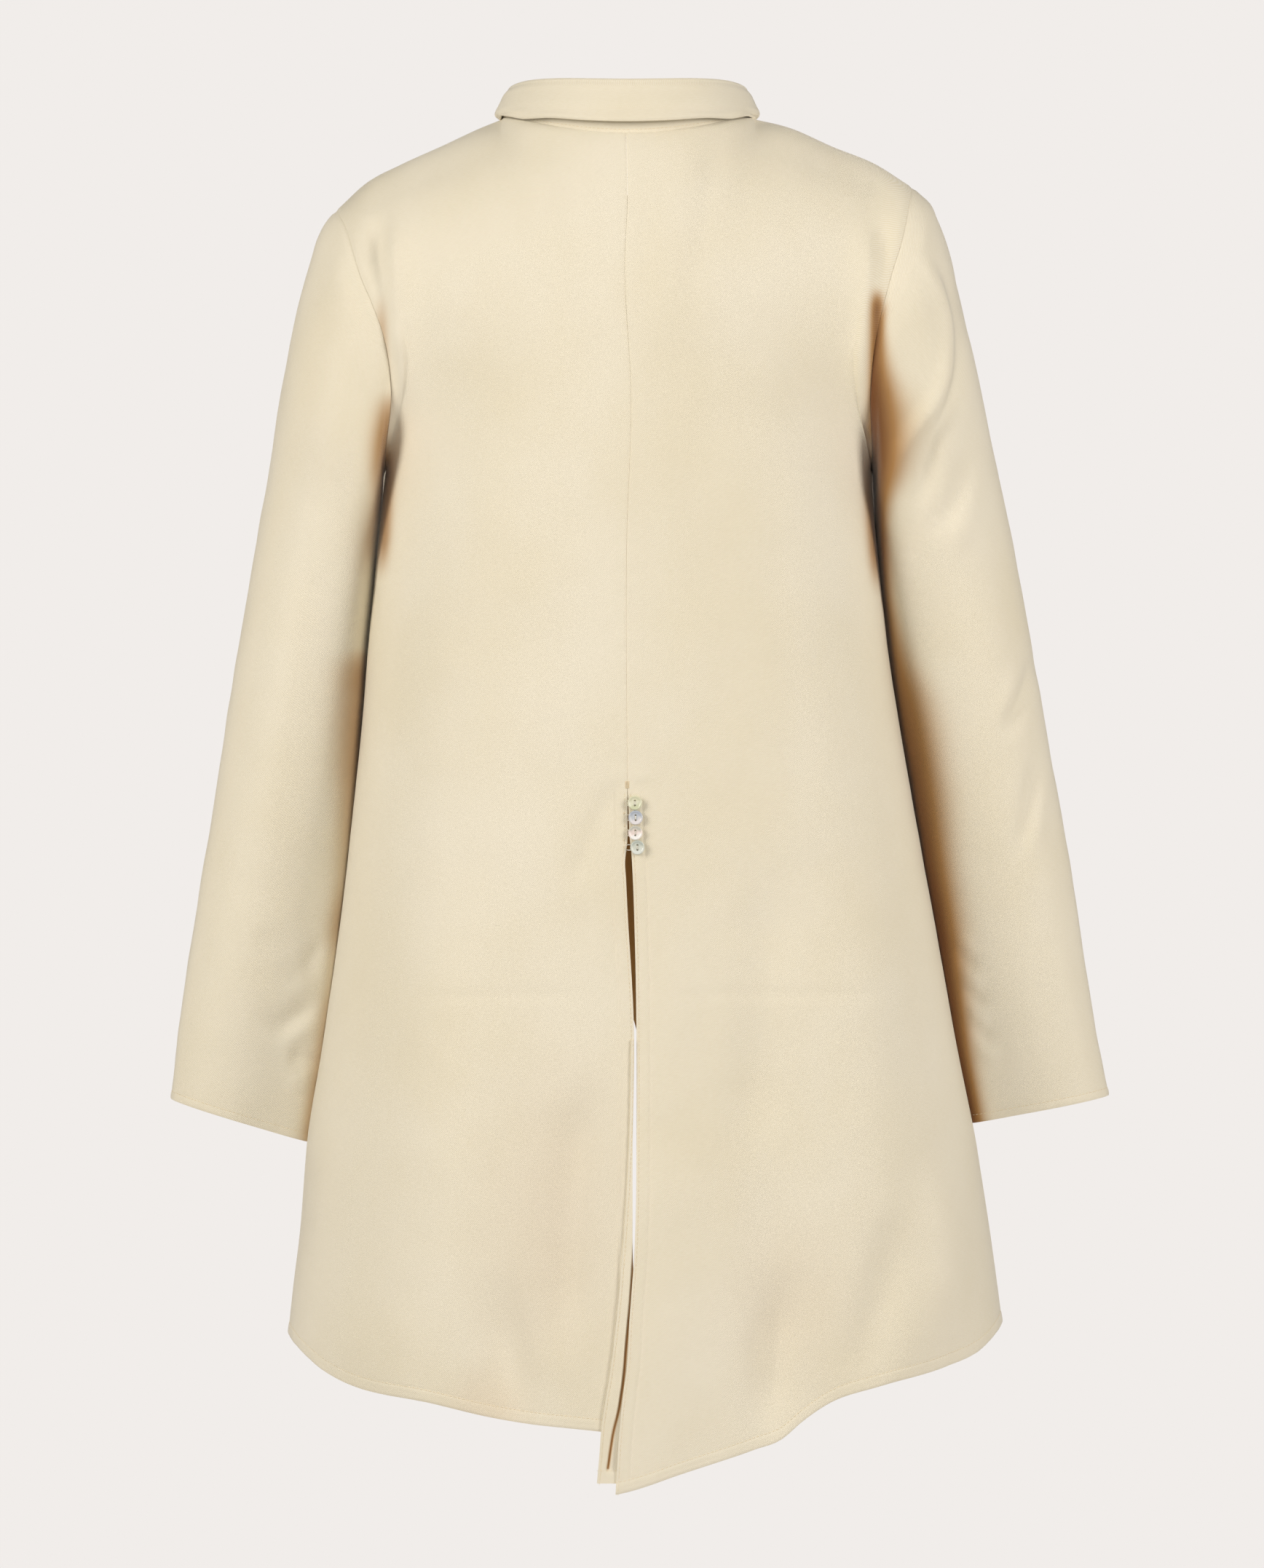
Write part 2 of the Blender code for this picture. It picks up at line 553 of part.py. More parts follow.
def fall_point(side, face, column, way, length):
    """Point on the underside of the fall at a distance from the fold."""
    base, top, away, _, gap = neck_frame(side, face, column)
    stand = np.linalg.norm(base - top)
    up = np.array([0, 0, 1.0])
    if way < stand:
        place = top + (base - top) * way / stand
        reach = 3.0 + (gap - 3.0) * math.sin(way / stand * math.pi / 2)
        row = 0.0
    else:
        row = down_the_panel(side, face, column, way - stand)
        place = body(side, face, column, row)
        rest = max(length - stand, 1.0)
        reach = gap + (FALL_REST - gap) * float(ease((way - stand) / rest))
    panel = body_normal(side, face, column, max(row, 0.03))
    panel = unit(panel + up * 0.1)
    blend = 0.5 * float(ease((way - stand + 9) / 9)) + 0.4 * float(ease((way - stand) / 10))
    return place + unit(away * (1 - blend) + panel * blend) * reach


def surface_tree(grid):
    """Search tree over the faces of a grid of points."""
    rows, columns = grid.shape[:2]
    faces = []
    for r in range(rows - 1):
        for c in range(columns - 1):
            at = r * columns + c
            faces.append((at, at + columns, at + columns + 1, at + 1))
    return BVHTree.FromPolygons(grid.reshape(-1, 3).tolist(), faces)


def rest_on(grid, trees, clearance):
    """The grid with each point raised to a clearance above the surfaces near it."""
    grid = grid.copy()
    for place in np.ndindex(grid.shape[:2]):
        for tree, outward in trees:
            point = Vector(grid[place])
            near, normal, _, _ = tree.find_nearest(point)
            normal = normal if normal.dot(Vector(outward)) > 0 else -normal
            high = (point - near).dot(normal)
            if high < clearance and (point - near).length < 2 * clearance:
                grid[place] = point + normal * (clearance - high)
    return grid


def make_fall(collection, cloth):
    """Turned-down part of the collar, rolled over the top of the stand."""
    roll = ((-1.4, 1.1), (-0.4, 1.9), (1.1, 1.5), (2.1, -0.2))
    shares = (0.0, 0.14, 0.28, 0.42, 0.56, 0.7, 0.85, 1.0)
    up = np.array([0, 0, 1.0])
    under = []
    for side, face, column in neck_stations():
        start = FALL_START / NECK_HALF * NECK_SHARE * 2 / math.pi
        if face == FRONT:
            column = max(start, start + column * (1 - start / NECK_SHARE))
        base, top, away, length, _ = neck_frame(side, face, column)
        turn = np.clip(column / NECK_SHARE, -1, 1) * math.pi / 2
        spread = POINT_SPREAD * math.cos(turn) ** 2 if face == FRONT else 0.0
        crown = FRONT_CROWN * math.cos(turn) if face == FRONT else 0.0
        line = [top + away * (out + crown / 3) + up * (high + crown) for out, high in roll]
        for share in shares:
            way = 3.0 + (length - 3.0) * share
            shifted = min(column + spread * way / length, NECK_SHARE * 1.6)
            line.append(fall_point(side, face, shifted, way, length))
        under.append(line)
    under = np.array(under).transpose(1, 0, 2)
    keep = [0]
    for i in range(1, under.shape[1]):
        if np.linalg.norm(under[0, i] - under[0, keep[-1]]) > 1.0:
            keep.append(i)
    under = under[:, keep]
    trees = []
    for side in (LEFT, RIGHT):
        for face in (BACK, FRONT):
            trees.append((surface_tree(panel_surface(side, face)[0]), (0, face, 0.8)))
    under[6:] = rest_on(rest_on(under[6:], trees, FALL_REST), trees, FALL_REST)
    across = np.gradient(under, axis=1)
    lengthwise = np.gradient(under, axis=0)
    normals = unit(np.cross(across, lengthwise))
    outer = under + normals * FALL_WALL
    add_object(collection, "collar_fall", wall_mesh("collar_fall", outer, under), cloth)


def button_mesh():
    """Two-hole button: a turned profile with two drilled holes, its back at height 0."""
    size = BUTTON
    profile = ((0, 0), (size["rim"], 0), (size["radius"], 0.6), (size["radius"], 1.5),
               (size["rim"], size["rim_high"]), (size["dish"], size["dish_high"]),
               (0, size["dish_high"]))
    work = bmesh.new()
    points = [work.verts.new((radius * MM, 0, high * MM)) for radius, high in profile]
    edges = [work.edges.new(pair) for pair in zip(points, points[1:])]
    bmesh.ops.spin(work, geom=points + edges, axis=(0, 0, 1), cent=(0, 0, 0),
                   angle=2 * math.pi, steps=16, use_merge=True)
    bmesh.ops.remove_doubles(work, verts=work.verts, dist=0.00001)
    bmesh.ops.recalc_face_normals(work, faces=work.faces)
    disc = bpy.data.meshes.new("button_disc")
    work.to_mesh(disc)
    work.free()
    return disc


def hole_mesh():
    """Both holes' drills."""
    work = bmesh.new()
    for way in (-1, 1):
        place = Matrix.Translation((0, way * HOLE["apart"] / 2 * MM, 1.0 * MM))
        bmesh.ops.create_cone(work, cap_ends=True, segments=8, radius1=HOLE["radius"] * MM,
                              radius2=HOLE["radius"] * MM, depth=6 * MM, matrix=place)
    drills = bpy.data.meshes.new("button_drills")
    work.to_mesh(drills)
    work.free()
    return drills


def drilled_button(collection, cutters):
    """The button's finished mesh, shared by every button."""
    blank = bpy.data.objects.new("button_blank", button_mesh())
    collection.objects.link(blank)
    drill = bpy.data.objects.new("button_drill", hole_mesh())
    drill.hide_render = True
    drill.display_type = "WIRE"
    cutters.objects.link(drill)
    cut = blank.modifiers.new("holes", "BOOLEAN")
    cut.operation = "DIFFERENCE"
    cut.object = drill
    bpy.context.view_layer.update()
    graph = bpy.context.evaluated_depsgraph_get()
    mesh = bpy.data.meshes.new_from_object(blank.evaluated_get(graph))
    mesh.name = "pearl_button"
    bpy.data.objects.remove(blank)
    bpy.data.objects.remove(drill)
    mesh.shade_smooth()
    mesh.set_sharp_from_angle(angle=math.radians(40))
    return mesh


def set_button(collection, name, mesh, place, normal):
    """A button with its back at a place, facing along a direction, its holes one above
    the other."""
    made = bpy.data.objects.new(name, mesh)
    normal = Vector(normal)
    across = Vector((0, 0, 1)).cross(normal).normalized()
    up = normal.cross(across)
    turn = Matrix((across, up, normal)).transposed().to_4x4()
    made.matrix_world = Matrix.Translation(Vector(place) * MM) @ turn
    collection.objects.link(made)
    return made


def make_back_fastening(collection, mesh, thread):
    """Four buttons on the right back panel, each in a thread loop from the left panel."""
    normal = np.array([0, 1.0, 0])
    for number, (x, down) in enumerate(BACK_BUTTONS, start=1):
        face = back_point(np.array(x), np.array(float(down)))
        low = SEAM
        high = low + 2 * LOOP["radius"]
        set_button(collection, f"back_button_{number}", mesh, face + normal * (high + SEAM), normal)
        curve = bpy.data.curves.new(f"back_loop_{number}", "CURVE")
        curve.dimensions = "3D"
        curve.bevel_depth = LOOP["radius"] * MM
        curve.bevel_resolution = 1
        curve.use_fill_caps = True
        spline = curve.splines.new("POLY")
        bend_x = x + 0.4
        route = [(LOOP["start"], LOOP["half"])]
        for step in range(7):
            angle = math.pi / 2 + step * math.pi / 6
            route.append((bend_x + LOOP["half"] * math.cos(angle), LOOP["half"] * math.sin(angle)))
        route.append((LOOP["start"], -LOOP["half"]))
        spline.points.add(len(route) - 1)
        for point, (loop_x, rise) in zip(spline.points, route):
            spot = back_point(np.array(loop_x), np.array(float(down) - rise))
            spot = spot + normal * (low + LOOP["radius"])
            point.co = (*(spot * MM), 1)
        made = bpy.data.objects.new(f"back_loop_{number}", curve)
        curve.materials.append(material(f"back_loop_{number}_finish", *thread))
        collection.objects.link(made)


def make_front_buttons(collection, mesh):
    """Buttons down the middle of the front, the first on the stand."""
    base, top, away, _, _ = neck_frame(RIGHT, FRONT, 0.0)
    place = base + (top - base) * 0.5
    slope = unit(np.cross(top - base, np.array([1.0, 0, 0])))
    slope = slope if np.dot(slope, away) > 0 else -slope
    set_button(collection, "front_button_1", mesh, place + slope * SEAM * 1.4, slope)
    for number, down in enumerate(FRONT_BUTTON_DOWN, start=2):
        rows = np.linspace(0, 4, 601)
        line = body(RIGHT, FRONT, 0.0, rows)
        row = float(np.interp(down, -line[:, 2], rows))
        point = body(RIGHT, FRONT, 0.0, row)
        normal = body_normal(RIGHT, FRONT, 0.0, row)
        normal[0] = 0
        normal = unit(normal)
        place = point + normal * SEAM * 1.6
        set_button(collection, f"front_button_{number}", mesh, place, normal)


def main():
    for old in list(bpy.data.objects):
        bpy.data.objects.remove(old)
    shirt = bpy.data.collections.new("linen_shirt")
    cutters = bpy.data.collections.new("cutters")
    bpy.context.scene.collection.children.link(shirt)
    bpy.context.scene.collection.children.link(cutters)
    cloth = ((232, 219, 191), 0.6)
    pearl = ((226, 226, 214), 0.25)
    thread = ((244, 240, 230), 0.7)
    make_body_and_sleeves(shirt, cloth)
    make_turned_edge(shirt, cloth)
    make_stand(shirt, cloth)
    make_fall(shirt, cloth)
    button = drilled_button(shirt, cutters)
    button.materials.append(material("pearl", *pearl))
    make_back_fastening(shirt, button, thread)
    make_front_buttons(shirt, button)


main()
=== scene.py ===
# Long linen shirt from behind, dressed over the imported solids: fine cloth, stitches and buttons.
# Tables are in millimetres. "down" is a distance below the origin and x is measured from the
# middle towards a panel's own side, as in the solids' source.

import functools
import math

import bmesh
import bpy
import numpy as np
from mathutils import Matrix, Vector
from mathutils.bvhtree import BVHTree


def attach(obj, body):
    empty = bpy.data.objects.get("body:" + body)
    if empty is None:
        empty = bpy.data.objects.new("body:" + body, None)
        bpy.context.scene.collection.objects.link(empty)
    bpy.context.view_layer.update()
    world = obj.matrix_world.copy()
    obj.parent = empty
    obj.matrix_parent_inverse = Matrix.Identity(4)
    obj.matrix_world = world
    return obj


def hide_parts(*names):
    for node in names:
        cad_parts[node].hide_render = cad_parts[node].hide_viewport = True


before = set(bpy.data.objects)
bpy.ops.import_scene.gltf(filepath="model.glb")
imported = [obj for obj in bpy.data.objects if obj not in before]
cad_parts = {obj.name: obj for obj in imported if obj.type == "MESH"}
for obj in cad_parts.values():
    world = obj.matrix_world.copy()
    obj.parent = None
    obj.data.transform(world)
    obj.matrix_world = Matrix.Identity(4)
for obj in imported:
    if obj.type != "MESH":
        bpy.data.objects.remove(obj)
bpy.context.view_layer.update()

mm = 0.001
left, right = 1, -1
back, front = 1, -1

collection = bpy.context.scene.collection


def newObject(name, data):
    made = bpy.data.objects.new(name, data)
    collection.objects.link(made)
    return made


# ---- camera and light

view = {
    "place": (-0.003, 3.5, -0.456),   # level with the middle of the shirt, behind it
    "lens": 117.0,
    "reach": 30.0,
    "floorDown": 1.9,
    "backdrop": 4.6,                  # distance behind the shirt
}


def linear(hexColour):
    parts = [int(hexColour[i:i + 2], 16) / 255 for i in (0, 2, 4)]
    return [p / 12.92 if p <= 0.04045 else ((p + 0.055) / 1.055) ** 2.4 for p in parts] + [1.0]


def makeCamera():
    data = bpy.data.cameras.new("backCamera")
    data.lens = view["lens"]
    data.clip_end = view["reach"]
    cam = newObject("backCamera", data)
    cam.location = view["place"]
    cam.rotation_euler = (math.pi / 2, 0, math.pi)
    bpy.context.scene.camera = cam


light = {
    "world": ("FFFBF4", 0.125),
    # place, aimed at, width, height, watts, colour
    "boxes": {
        "keyBox": ((2.6, 1.95, 0.8), (0.0, 0, -0.42), 1.2, 2.2, 80, "FFF8EC"),
        "sideBox": ((-2.7, 1.95, 0.65), (0, 0, -0.46), 1.2, 2.2, 73, "FFF8EE"),
        "frontBox": ((0.1, 3.8, 0.6), (0, 0, -0.5), 2.4, 1.0, 8, "FFFAF2"),
    },
}


def setInputs(node, values):
    for socket, value in values.items():
        node.inputs[socket].default_value = value


def makeLight():
    world = bpy.data.worlds.new("studio")
    bpy.context.scene.world = world
    world.use_nodes = True
    colour, strength = light["world"]
    setInputs(world.node_tree.nodes["Background"], {"Color": linear(colour), "Strength": strength})
    for name, (place, aim, width, height, watts, colour) in light["boxes"].items():
        data = bpy.data.lights.new(name, "AREA")
        data.shape = "RECTANGLE"
        data.size, data.size_y = width, height
        data.energy = watts
        data.color = linear(colour)[:3]
        lamp = newObject(name, data)
        lamp.location = place
        lamp.rotation_euler = (Vector(aim) - Vector(place)).to_track_quat("-Z", "Y").to_euler()


bpy.context.scene.view_settings.view_transform = "Standard"
makeCamera()
makeLight()
print("camera and light made")

# ---- materials


def addNode(tree, kind, links=(), values={}, **settings):
    made = tree.nodes.new(kind)
    for key, value in settings.items():
        setattr(made, key, value)
    setInputs(made, values)
    for socket, source in links:
        tree.links.new(source, made.inputs[socket])
    return made


def compute(tree, operation, *terms):
    # A Math node of sockets and numbers
    made = addNode(tree, "ShaderNodeMath", operation=operation)
    for socket, term in enumerate(terms):
        if isinstance(term, (int, float)):
            made.inputs[socket].default_value = term
        else:
            tree.links.new(term, made.inputs[socket])
    return made.outputs[0]


def addNoise(tree, place, scale, detail=2.0, dimensions="3D"):
    return addNode(tree, "ShaderNodeTexNoise", [(0, place)], {"Scale": scale, "Detail": detail},
                   noise_dimensions=dimensions).outputs[0]


def addRamp(tree, source, stops):
    # stops: place and colour of the first, the last, and then any between them
    ramp = addNode(tree, "ShaderNodeValToRGB", [(0, source)])
    for number, (place, colour) in enumerate(stops):
        stop = ramp.color_ramp.elements[number] if number < 2 else ramp.color_ramp.elements.new(place)
        stop.position, stop.color = place, linear(colour)
    return ramp.outputs[0]


def newMaterial(name):
    made = bpy.data.materials.new(name)
    made.use_nodes = True
    return made, made.node_tree, made.node_tree.nodes["Principled BSDF"]


studio = {
    "half": 5.0, "wallTop": 3.5,
    "floor": ("8E8A85", 0.35), "backdrop": ("000000", 1.0),     # own colour, glow
    "glow": "F1EDEA",
}


def makeStudio():
    # Plain pale floor, and a wall behind it that glows evenly like a lit paper roll
    half, high, wall, low = studio["half"], studio["wallTop"], -view["backdrop"], -view["floorDown"]
    for name, points in (
            ("floor", ((-half, wall, low), (half, wall, low), (half, half, low), (-half, half, low))),
            ("backdrop", ((half, wall, low), (-half, wall, low), (-half, wall, high), (half, wall, high)))):
        colour, glow = studio[name]
        mesh = bpy.data.meshes.new(name)
        mesh.from_pydata(points, [], [(0, 1, 2, 3)])
        finish, _, shader = newMaterial("pale" + name.title())
        setInputs(shader, {"Base Color": linear(colour), "Roughness": 0.9, "Specular IOR Level": 0.0,
                           "Emission Color": linear(studio["glow"]), "Emission Strength": glow})
        mesh.materials.append(finish)
        newObject(name, mesh)


makeStudio()

linen = {
    "light": "F7F1E1",
    "deep": "EDE4CB",
    "deepest": 0.35,            # where on the mixed tones the deep colour is full
    "twillPitch": 1.25 * mm,    # from one diagonal to the next, across the cloth
    "yarns": (260, 1900, 1),    # features to a metre of cloth, across and down
    "clouds": (9, 7, 1),
    "twillShare": 0.32, "yarnShare": 0.5,
    "relief": (0.5, 0.1 * mm),  # strength, height
    "paintedShade": "6C3B0C",         # painted shade: dark brown where cloth lies close to cloth
    "inside": "DDA44C",         # painted shade: warm brown deep inside the body, and round the dark painted shade
    "surface": {"Roughness": 0.56, "Sheen Weight": 0.62, "Sheen Roughness": 0.4,
                "Sheen Tint": linear("FFFAF0"), "Specular IOR Level": 0.35},
}


def linenMaterial(name):
    # Linen twill: fine diagonals, uneven yarns and slow changes of tone, with painted shade mixed in from
    # mesh attributes
    made, tree, shader = newMaterial(name)
    uv = addNode(tree, "ShaderNodeUVMap", uv_map="cloth").outputs[0]
    parts = addNode(tree, "ShaderNodeSeparateXYZ", [(0, uv)])
    diagonal = compute(tree, "ADD", parts.outputs[0], parts.outputs[1])
    turns = compute(tree, "MULTIPLY", diagonal, 2 * math.pi / linen["twillPitch"])
    twill = compute(tree, "SINE", turns)
    noises = []
    for stretch, detail in ((linen["yarns"], 2.0), (linen["clouds"], 3.0)):
        place = addNode(tree, "ShaderNodeVectorMath", [(0, uv)], {1: stretch}, operation="MULTIPLY")
        noises.append(addNoise(tree, place.outputs[0], 1.0, detail, "2D"))
    yarns, clouds = noises
    weave = compute(tree, "ADD", compute(tree, "MULTIPLY", twill, linen["twillShare"]),
                    compute(tree, "MULTIPLY", yarns, linen["yarnShare"]))
    colour = addRamp(tree, compute(tree, "ADD", weave, clouds),
                     ((linen["deepest"], linen["deep"]), (1.0, linen["light"])))
    # Painted shade: the warm inner tint, then the dark brown, mixed over the cloth's colour by mesh
    # attributes
    for label in ("inside", "paintedShade"):
        share = addNode(tree, "ShaderNodeAttribute", attribute_name=label)
        mix = addNode(tree, "ShaderNodeMix", data_type="RGBA")
        tree.links.new(share.outputs["Fac"], mix.inputs[0])
        tree.links.new(colour, mix.inputs[6])
        mix.inputs[7].default_value = linear(linen[label])
        colour = mix.outputs[2]
    tree.links.new(colour, shader.inputs["Base Color"])
    strength, height = linen["relief"]
    relief = addNode(tree, "ShaderNodeBump", [("Height", compute(tree, "ADD", twill, yarns))],
                     {"Strength": strength, "Distance": height})
    tree.links.new(relief.outputs[0], shader.inputs["Normal"])
    setInputs(shader, linen["surface"])
    return made


def threadMaterial(name, deep, pale):
    # Matt sewing cotton
    made, tree, shader = newMaterial(name)
    place = addNode(tree, "ShaderNodeTexCoord").outputs["Object"]
    colour = addRamp(tree, addNoise(tree, place, 900), ((0.0, deep), (1.0, pale)))
    tree.links.new(colour, shader.inputs["Base Color"])
    shader.inputs["Roughness"].default_value = 0.7
    return made


clothMaterial = linenMaterial("linenTwill")
threadFinish = threadMaterial("sewingThread", "E2D0AC", "F6EAD2")
print("materials made")

# ---- the body's shape, the same as the solids'

frontEdge = ((72, -14), (540, -14), (560, -13), (590, -6), (630, 6), (700, 18), (800, 30), (875, 36))
body = {
    "seam": 0.1,
    "lapStep": 1.8, "lap": (18, 38),    # the under layer sinks between these distances from the middle
    "chestDown": 150.0, "underarmDown": 240.0, "smoothDown": 270.0, "tackDown": 457.0,
    "armholeDepth": 55.0, "squareness": 0.15, "shoulderY": -6.0,
    "neckHalf": 86.0, "neckShare": 0.43,
    # half width at the armhole and side seams: down, half width
    "side": {
        left: ((62, 200.5), (76, 192.5), (93, 187), (112, 181), (131, 173), (150, 166),
               (190, 160), (240, 166), (320, 174), (400, 181), (480, 188.5), (560, 198),
               (640, 210), (700, 219.5), (760, 224.5), (832, 232.5)),
        right: ((45.5, 195), (61, 192), (90, 185.5), (107, 180), (129, 174), (150, 169),
                (190, 164.5), (240, 167), (320, 173.5), (400, 183.5), (480, 197.5), (560, 212),
                (640, 226.5), (700, 238.5), (760, 248), (825, 257)),
    },
    # depth of the body: down, to the back, to the front
    "depth": ((150, 98, 88), (240, 102, 104), (320, 103, 110), (400, 105, 111), (560, 112, 116),
              (700, 121, 123), (850, 130, 130), (930, 133, 133)),
    # shoulder seams: distance from the middle, down
    "shoulder": {
        left: ((86, -1), (101, 5), (126.5, 17), (155.5, 30), (180, 43), (200.5, 62)),
        right: ((86, -1), (111.5, 5), (140, 17.5), (170.5, 30), (195, 45.5)),
    },
    "neck": {back: (62.0, 16.0, 0.6), front: (78.0, 72.0, 0.9)},    # reach, drop, roundness
    # hem: distance from the middle, down
    "hem": {
        (left, back): ((-20, 888), (30, 883), (78, 878), (127, 868), (208, 849), (232.5, 832)),
        (right, back): ((-20, 927), (-6, 925), (36, 912), (84, 897), (104, 890), (116, 880),
                        (133, 868), (167, 857), (213, 847), (240, 838), (257, 825)),
        (left, front): ((-20, 876), (60, 873), (140, 860), (200, 843), (232.5, 832)),
        (right, front): ((-20, 876), (60, 873), (150, 858), (220, 837), (257, 825)),
    },
    "centreSeam": ((16, 1), (60, 0), (105, 1.8), (200, -2.4), (290, 0.4), (457, 0.2)),
    # free centre edges: down, distance towards the panel's own side
    "centre": {
        (left, back): ((457, 0.2), (466, 0.0), (480, -0.1), (492, -0.1), (500, 0.7), (506, 1.5),
                       (520, 0.9), (550, -0.6), (579, -2.5),
                       (608, -4), (700, -3.5), (770, -3.5), (800, -5), (831, -8), (888, -12)),
        (right, back): ((457, -0.2), (466, 0.4), (480, 0.9), (492, 1.4), (500, 2.4), (506, 2.8),
                        (562, 4.9), (688, 5.9), (742, 5.4),
                        (767, 4.5), (797, 2.3), (813, 1.1), (841, -0.4), (858, -2.8),
                        (884, -5.5), (923, -7.9)),
        (left, front): frontEdge,
        (right, front): frontEdge,
    },
    # the right panel rises over the turned edge: height, between two depths, and its width
    "lift": 3.4, "liftDown": (680, 745), "liftWidth": (16, 62),
}

# The largest folds, as in the solids: side, face, x, down, x, down, half width, height, share of the
# length in which each end fades. Heights below 0 are troughs.
folds = [
    (left, back, 158, 85, 156, 200, 11, 5.0, 0.35),
    (left, back, 173, 80, 164, 150, 9, -5.0, 0.35),
    (right, back, 163, 85, 164, 235, 11, 5.0, 0.35),
    (right, back, 176, 80, 170, 150, 9, -5.0, 0.35),
    (right, back, 92, 640, 112, 900, 26, -5.0, 0.35),
    (right, back, 150, 560, 176, 880, 34, 5.0, 0.35),
    (left, back, 120, 560, 150, 880, 36, 4.0, 0.35),
    (left, front, 120, 330, 140, 880, 32, 6.0, 0.35),
    (left, front, 70, 420, 78, 880, 26, -5.0, 0.35),
    (right, front, 126, 330, 152, 880, 32, 6.0, 0.35),
    (right, front, 72, 420, 84, 880, 26, -5.0, 0.35),
]

# Smaller creases, as lines of (x, down): half width, height, share that fades at each end
creases = {
    (left, back): (
        (((5, 449), (20, 485), (38, 531)), 8, -2.2, 0.3),
        (((6, 470), (11, 520), (16, 590)), 7, 0.6, 0.4),
        (((22, 640), (36, 720), (41, 850)), 14, -5.4, 0.3),
        (((98, 620), (112, 740), (118, 860)), 20, 2.4, 0.4),
        (((84, 770), (80, 830), (74, 900)), 15, -7.0, 0.5),
        (((146, 600), (90, 597), (20, 596)), 4, -0.5, 0.25),
        (((214, 690), (219, 740), (222, 790)), 8, -1.5, 0.4),
        (((4, 455.5), (9, 453), (14, 454)), 3, 0.5, 0.5),
    ),
    (right, back): (
        (((92, 490), (93, 586), (82, 720)), 18, -3.6, 0.3),
        (((24, 500), (32, 600), (34, 700)), 12, 1.2, 0.4),
        (((20, 597), (100, 596), (188, 598)), 4, -0.5, 0.25),
        (((106, 770), (98, 830), (90, 905)), 15, -6.0, 0.4),
        (((206, 700), (213, 770), (212, 840)), 18, 5.5, 0.4),
        (((180, 730), (168, 800), (146, 870)), 15, -5.0, 0.4),
        (((2, 453.5), (9, 451.5), (18, 453.5)), 3, 0.55, 0.4),
        (((2, 458.5), (9, 457.5), (17, 459.0)), 3, -0.4, 0.4),
        (((170, 120), (168, 160), (168, 205)), 4.5, -3.0, 0.3),
    ),
    (left, front): (
        (((60, 150), (110, 230), (150, 260)), 12, -1.4, 0.4),
        (((40, 560), (60, 640), (66, 760)), 12, 1.2, 0.4),
        (((150, 300), (120, 380), (110, 470)), 10, -1.2, 0.4),
    ),
    (right, front): (
        (((66, 160), (116, 226), (152, 252)), 11, -1.3, 0.4),
        (((36, 590), (52, 680), (60, 790)), 12, 1.2, 0.4),
        (((152, 320), (118, 400), (104, 500)), 10, -1.1, 0.4),
    ),
    ("sleeve", left, back): (
        (((205, 110), (222, 170), (228, 260)), 12, 0.9, 0.4),
        (((255, 552), (244, 564), (232, 578)), 11, -1.4, 0.4),
        (((210, 607), (228, 616), (250, 630)), 6, -2.4, 0.35),
        (((210, 618), (226, 628), (242, 641)), 6, 2.0, 0.35),
        (((208, 646), (220, 645), (236, 644)), 5, -2.0, 0.35),
        (((212, 590), (228, 598), (244, 606)), 7, 1.4, 0.4),
        (((214, 660), (224, 660), (236, 663)), 5, 1.3, 0.4),
        (((206, 560), (216, 575), (222, 592)), 6, -1.6, 0.4),
    ),
    ("sleeve", right, back): (
        (((195, 91), (214, 122), (220, 159), (211, 195), (195, 216), (183, 238), (180, 275)), 6, 3.6, 0.2),
        (((205, 95), (224, 130), (226, 165), (221, 195), (207, 229), (196, 276)), 6.5, -4.2, 0.2),
        (((234, 226), (221, 268), (203, 287)), 7.5, -2.4, 0.35),
        (((240, 236), (229, 282), (216, 310)), 8, 1.2, 0.35),
        (((284, 360), (270, 398), (257, 428)), 6, -3.0, 0.35),
        (((275, 366), (262, 396), (250, 420)), 6, 1.2, 0.4),
        (((284, 430), (276, 470), (267, 512)), 6, -2.9, 0.35),
        (((290, 440), (284, 475), (277, 510)), 6, 1.3, 0.4),
        (((221, 560), (230, 564), (240, 570)), 4.5, 1.6, 0.4),
        (((223, 575), (232, 578), (242, 584)), 4.5, -1.6, 0.4),
        (((226, 587), (235, 590), (245, 596)), 4.5, 1.7, 0.4),
        (((229, 600), (238, 603), (248, 609)), 4.5, -1.6, 0.4),
        (((231, 612), (240, 615), (250, 620)), 4.5, 1.6, 0.4),
        (((234, 625), (243, 628), (252, 633)), 4.5, -1.5, 0.4),
        (((236, 638), (246, 641), (256, 645)), 4.5, 1.4, 0.4),
    ),
    ("sleeve", left, front): (
        (((200, 330), (225, 350), (250, 352)), 8, -2.4, 0.35),
        (((198, 360), (222, 376), (246, 380)), 8, 2.0, 0.35),
        (((204, 395), (226, 408), (248, 414)), 7, -1.8, 0.35),
        (((210, 150), (222, 200), (226, 260)), 10, 1.2, 0.4),
    ),
    ("sleeve", right, front): (
        (((205, 340), (232, 356), (258, 360)), 8, -2.2, 0.35),
        (((204, 372), (230, 388), (256, 390)), 8, 2.0, 0.35),
        (((210, 410), (236, 420), (260, 428)), 7, -1.8, 0.35),
        (((212, 150), (224, 200), (230, 260)), 10, 1.2, 0.4),
    ),
}

# Painted dark shade on the sleeves beside the body: down, strength, width
paintedSleeveShade = {
    left: ((190, 0, 8), (205, 0.45, 9), (240, 0.5, 8), (262, 0.2, 6), (280, 0, 6), (362, 0, 12),
           (372, 0.3, 15), (400, 0.38, 16), (440, 0.35, 14), (480, 0.24, 10), (520, 0.14, 8),
           (556, 0.25, 8), (575, 0.1, 6), (620, 0.2, 6), (700, 0.25, 6)),
    right: ((128, 0, 3), (145, 0.7, 4), (170, 0.9, 9), (205, 1, 19), (240, 1, 17), (268, 0.9, 8),
            (320, 0.75, 6), (360, 0.65, 10), (400, 0.8, 19), (450, 0.9, 20), (500, 0.95, 17),
            (560, 1, 15), (600, 0.95, 12), (650, 0.95, 9), (690, 0.95, 8)),
}
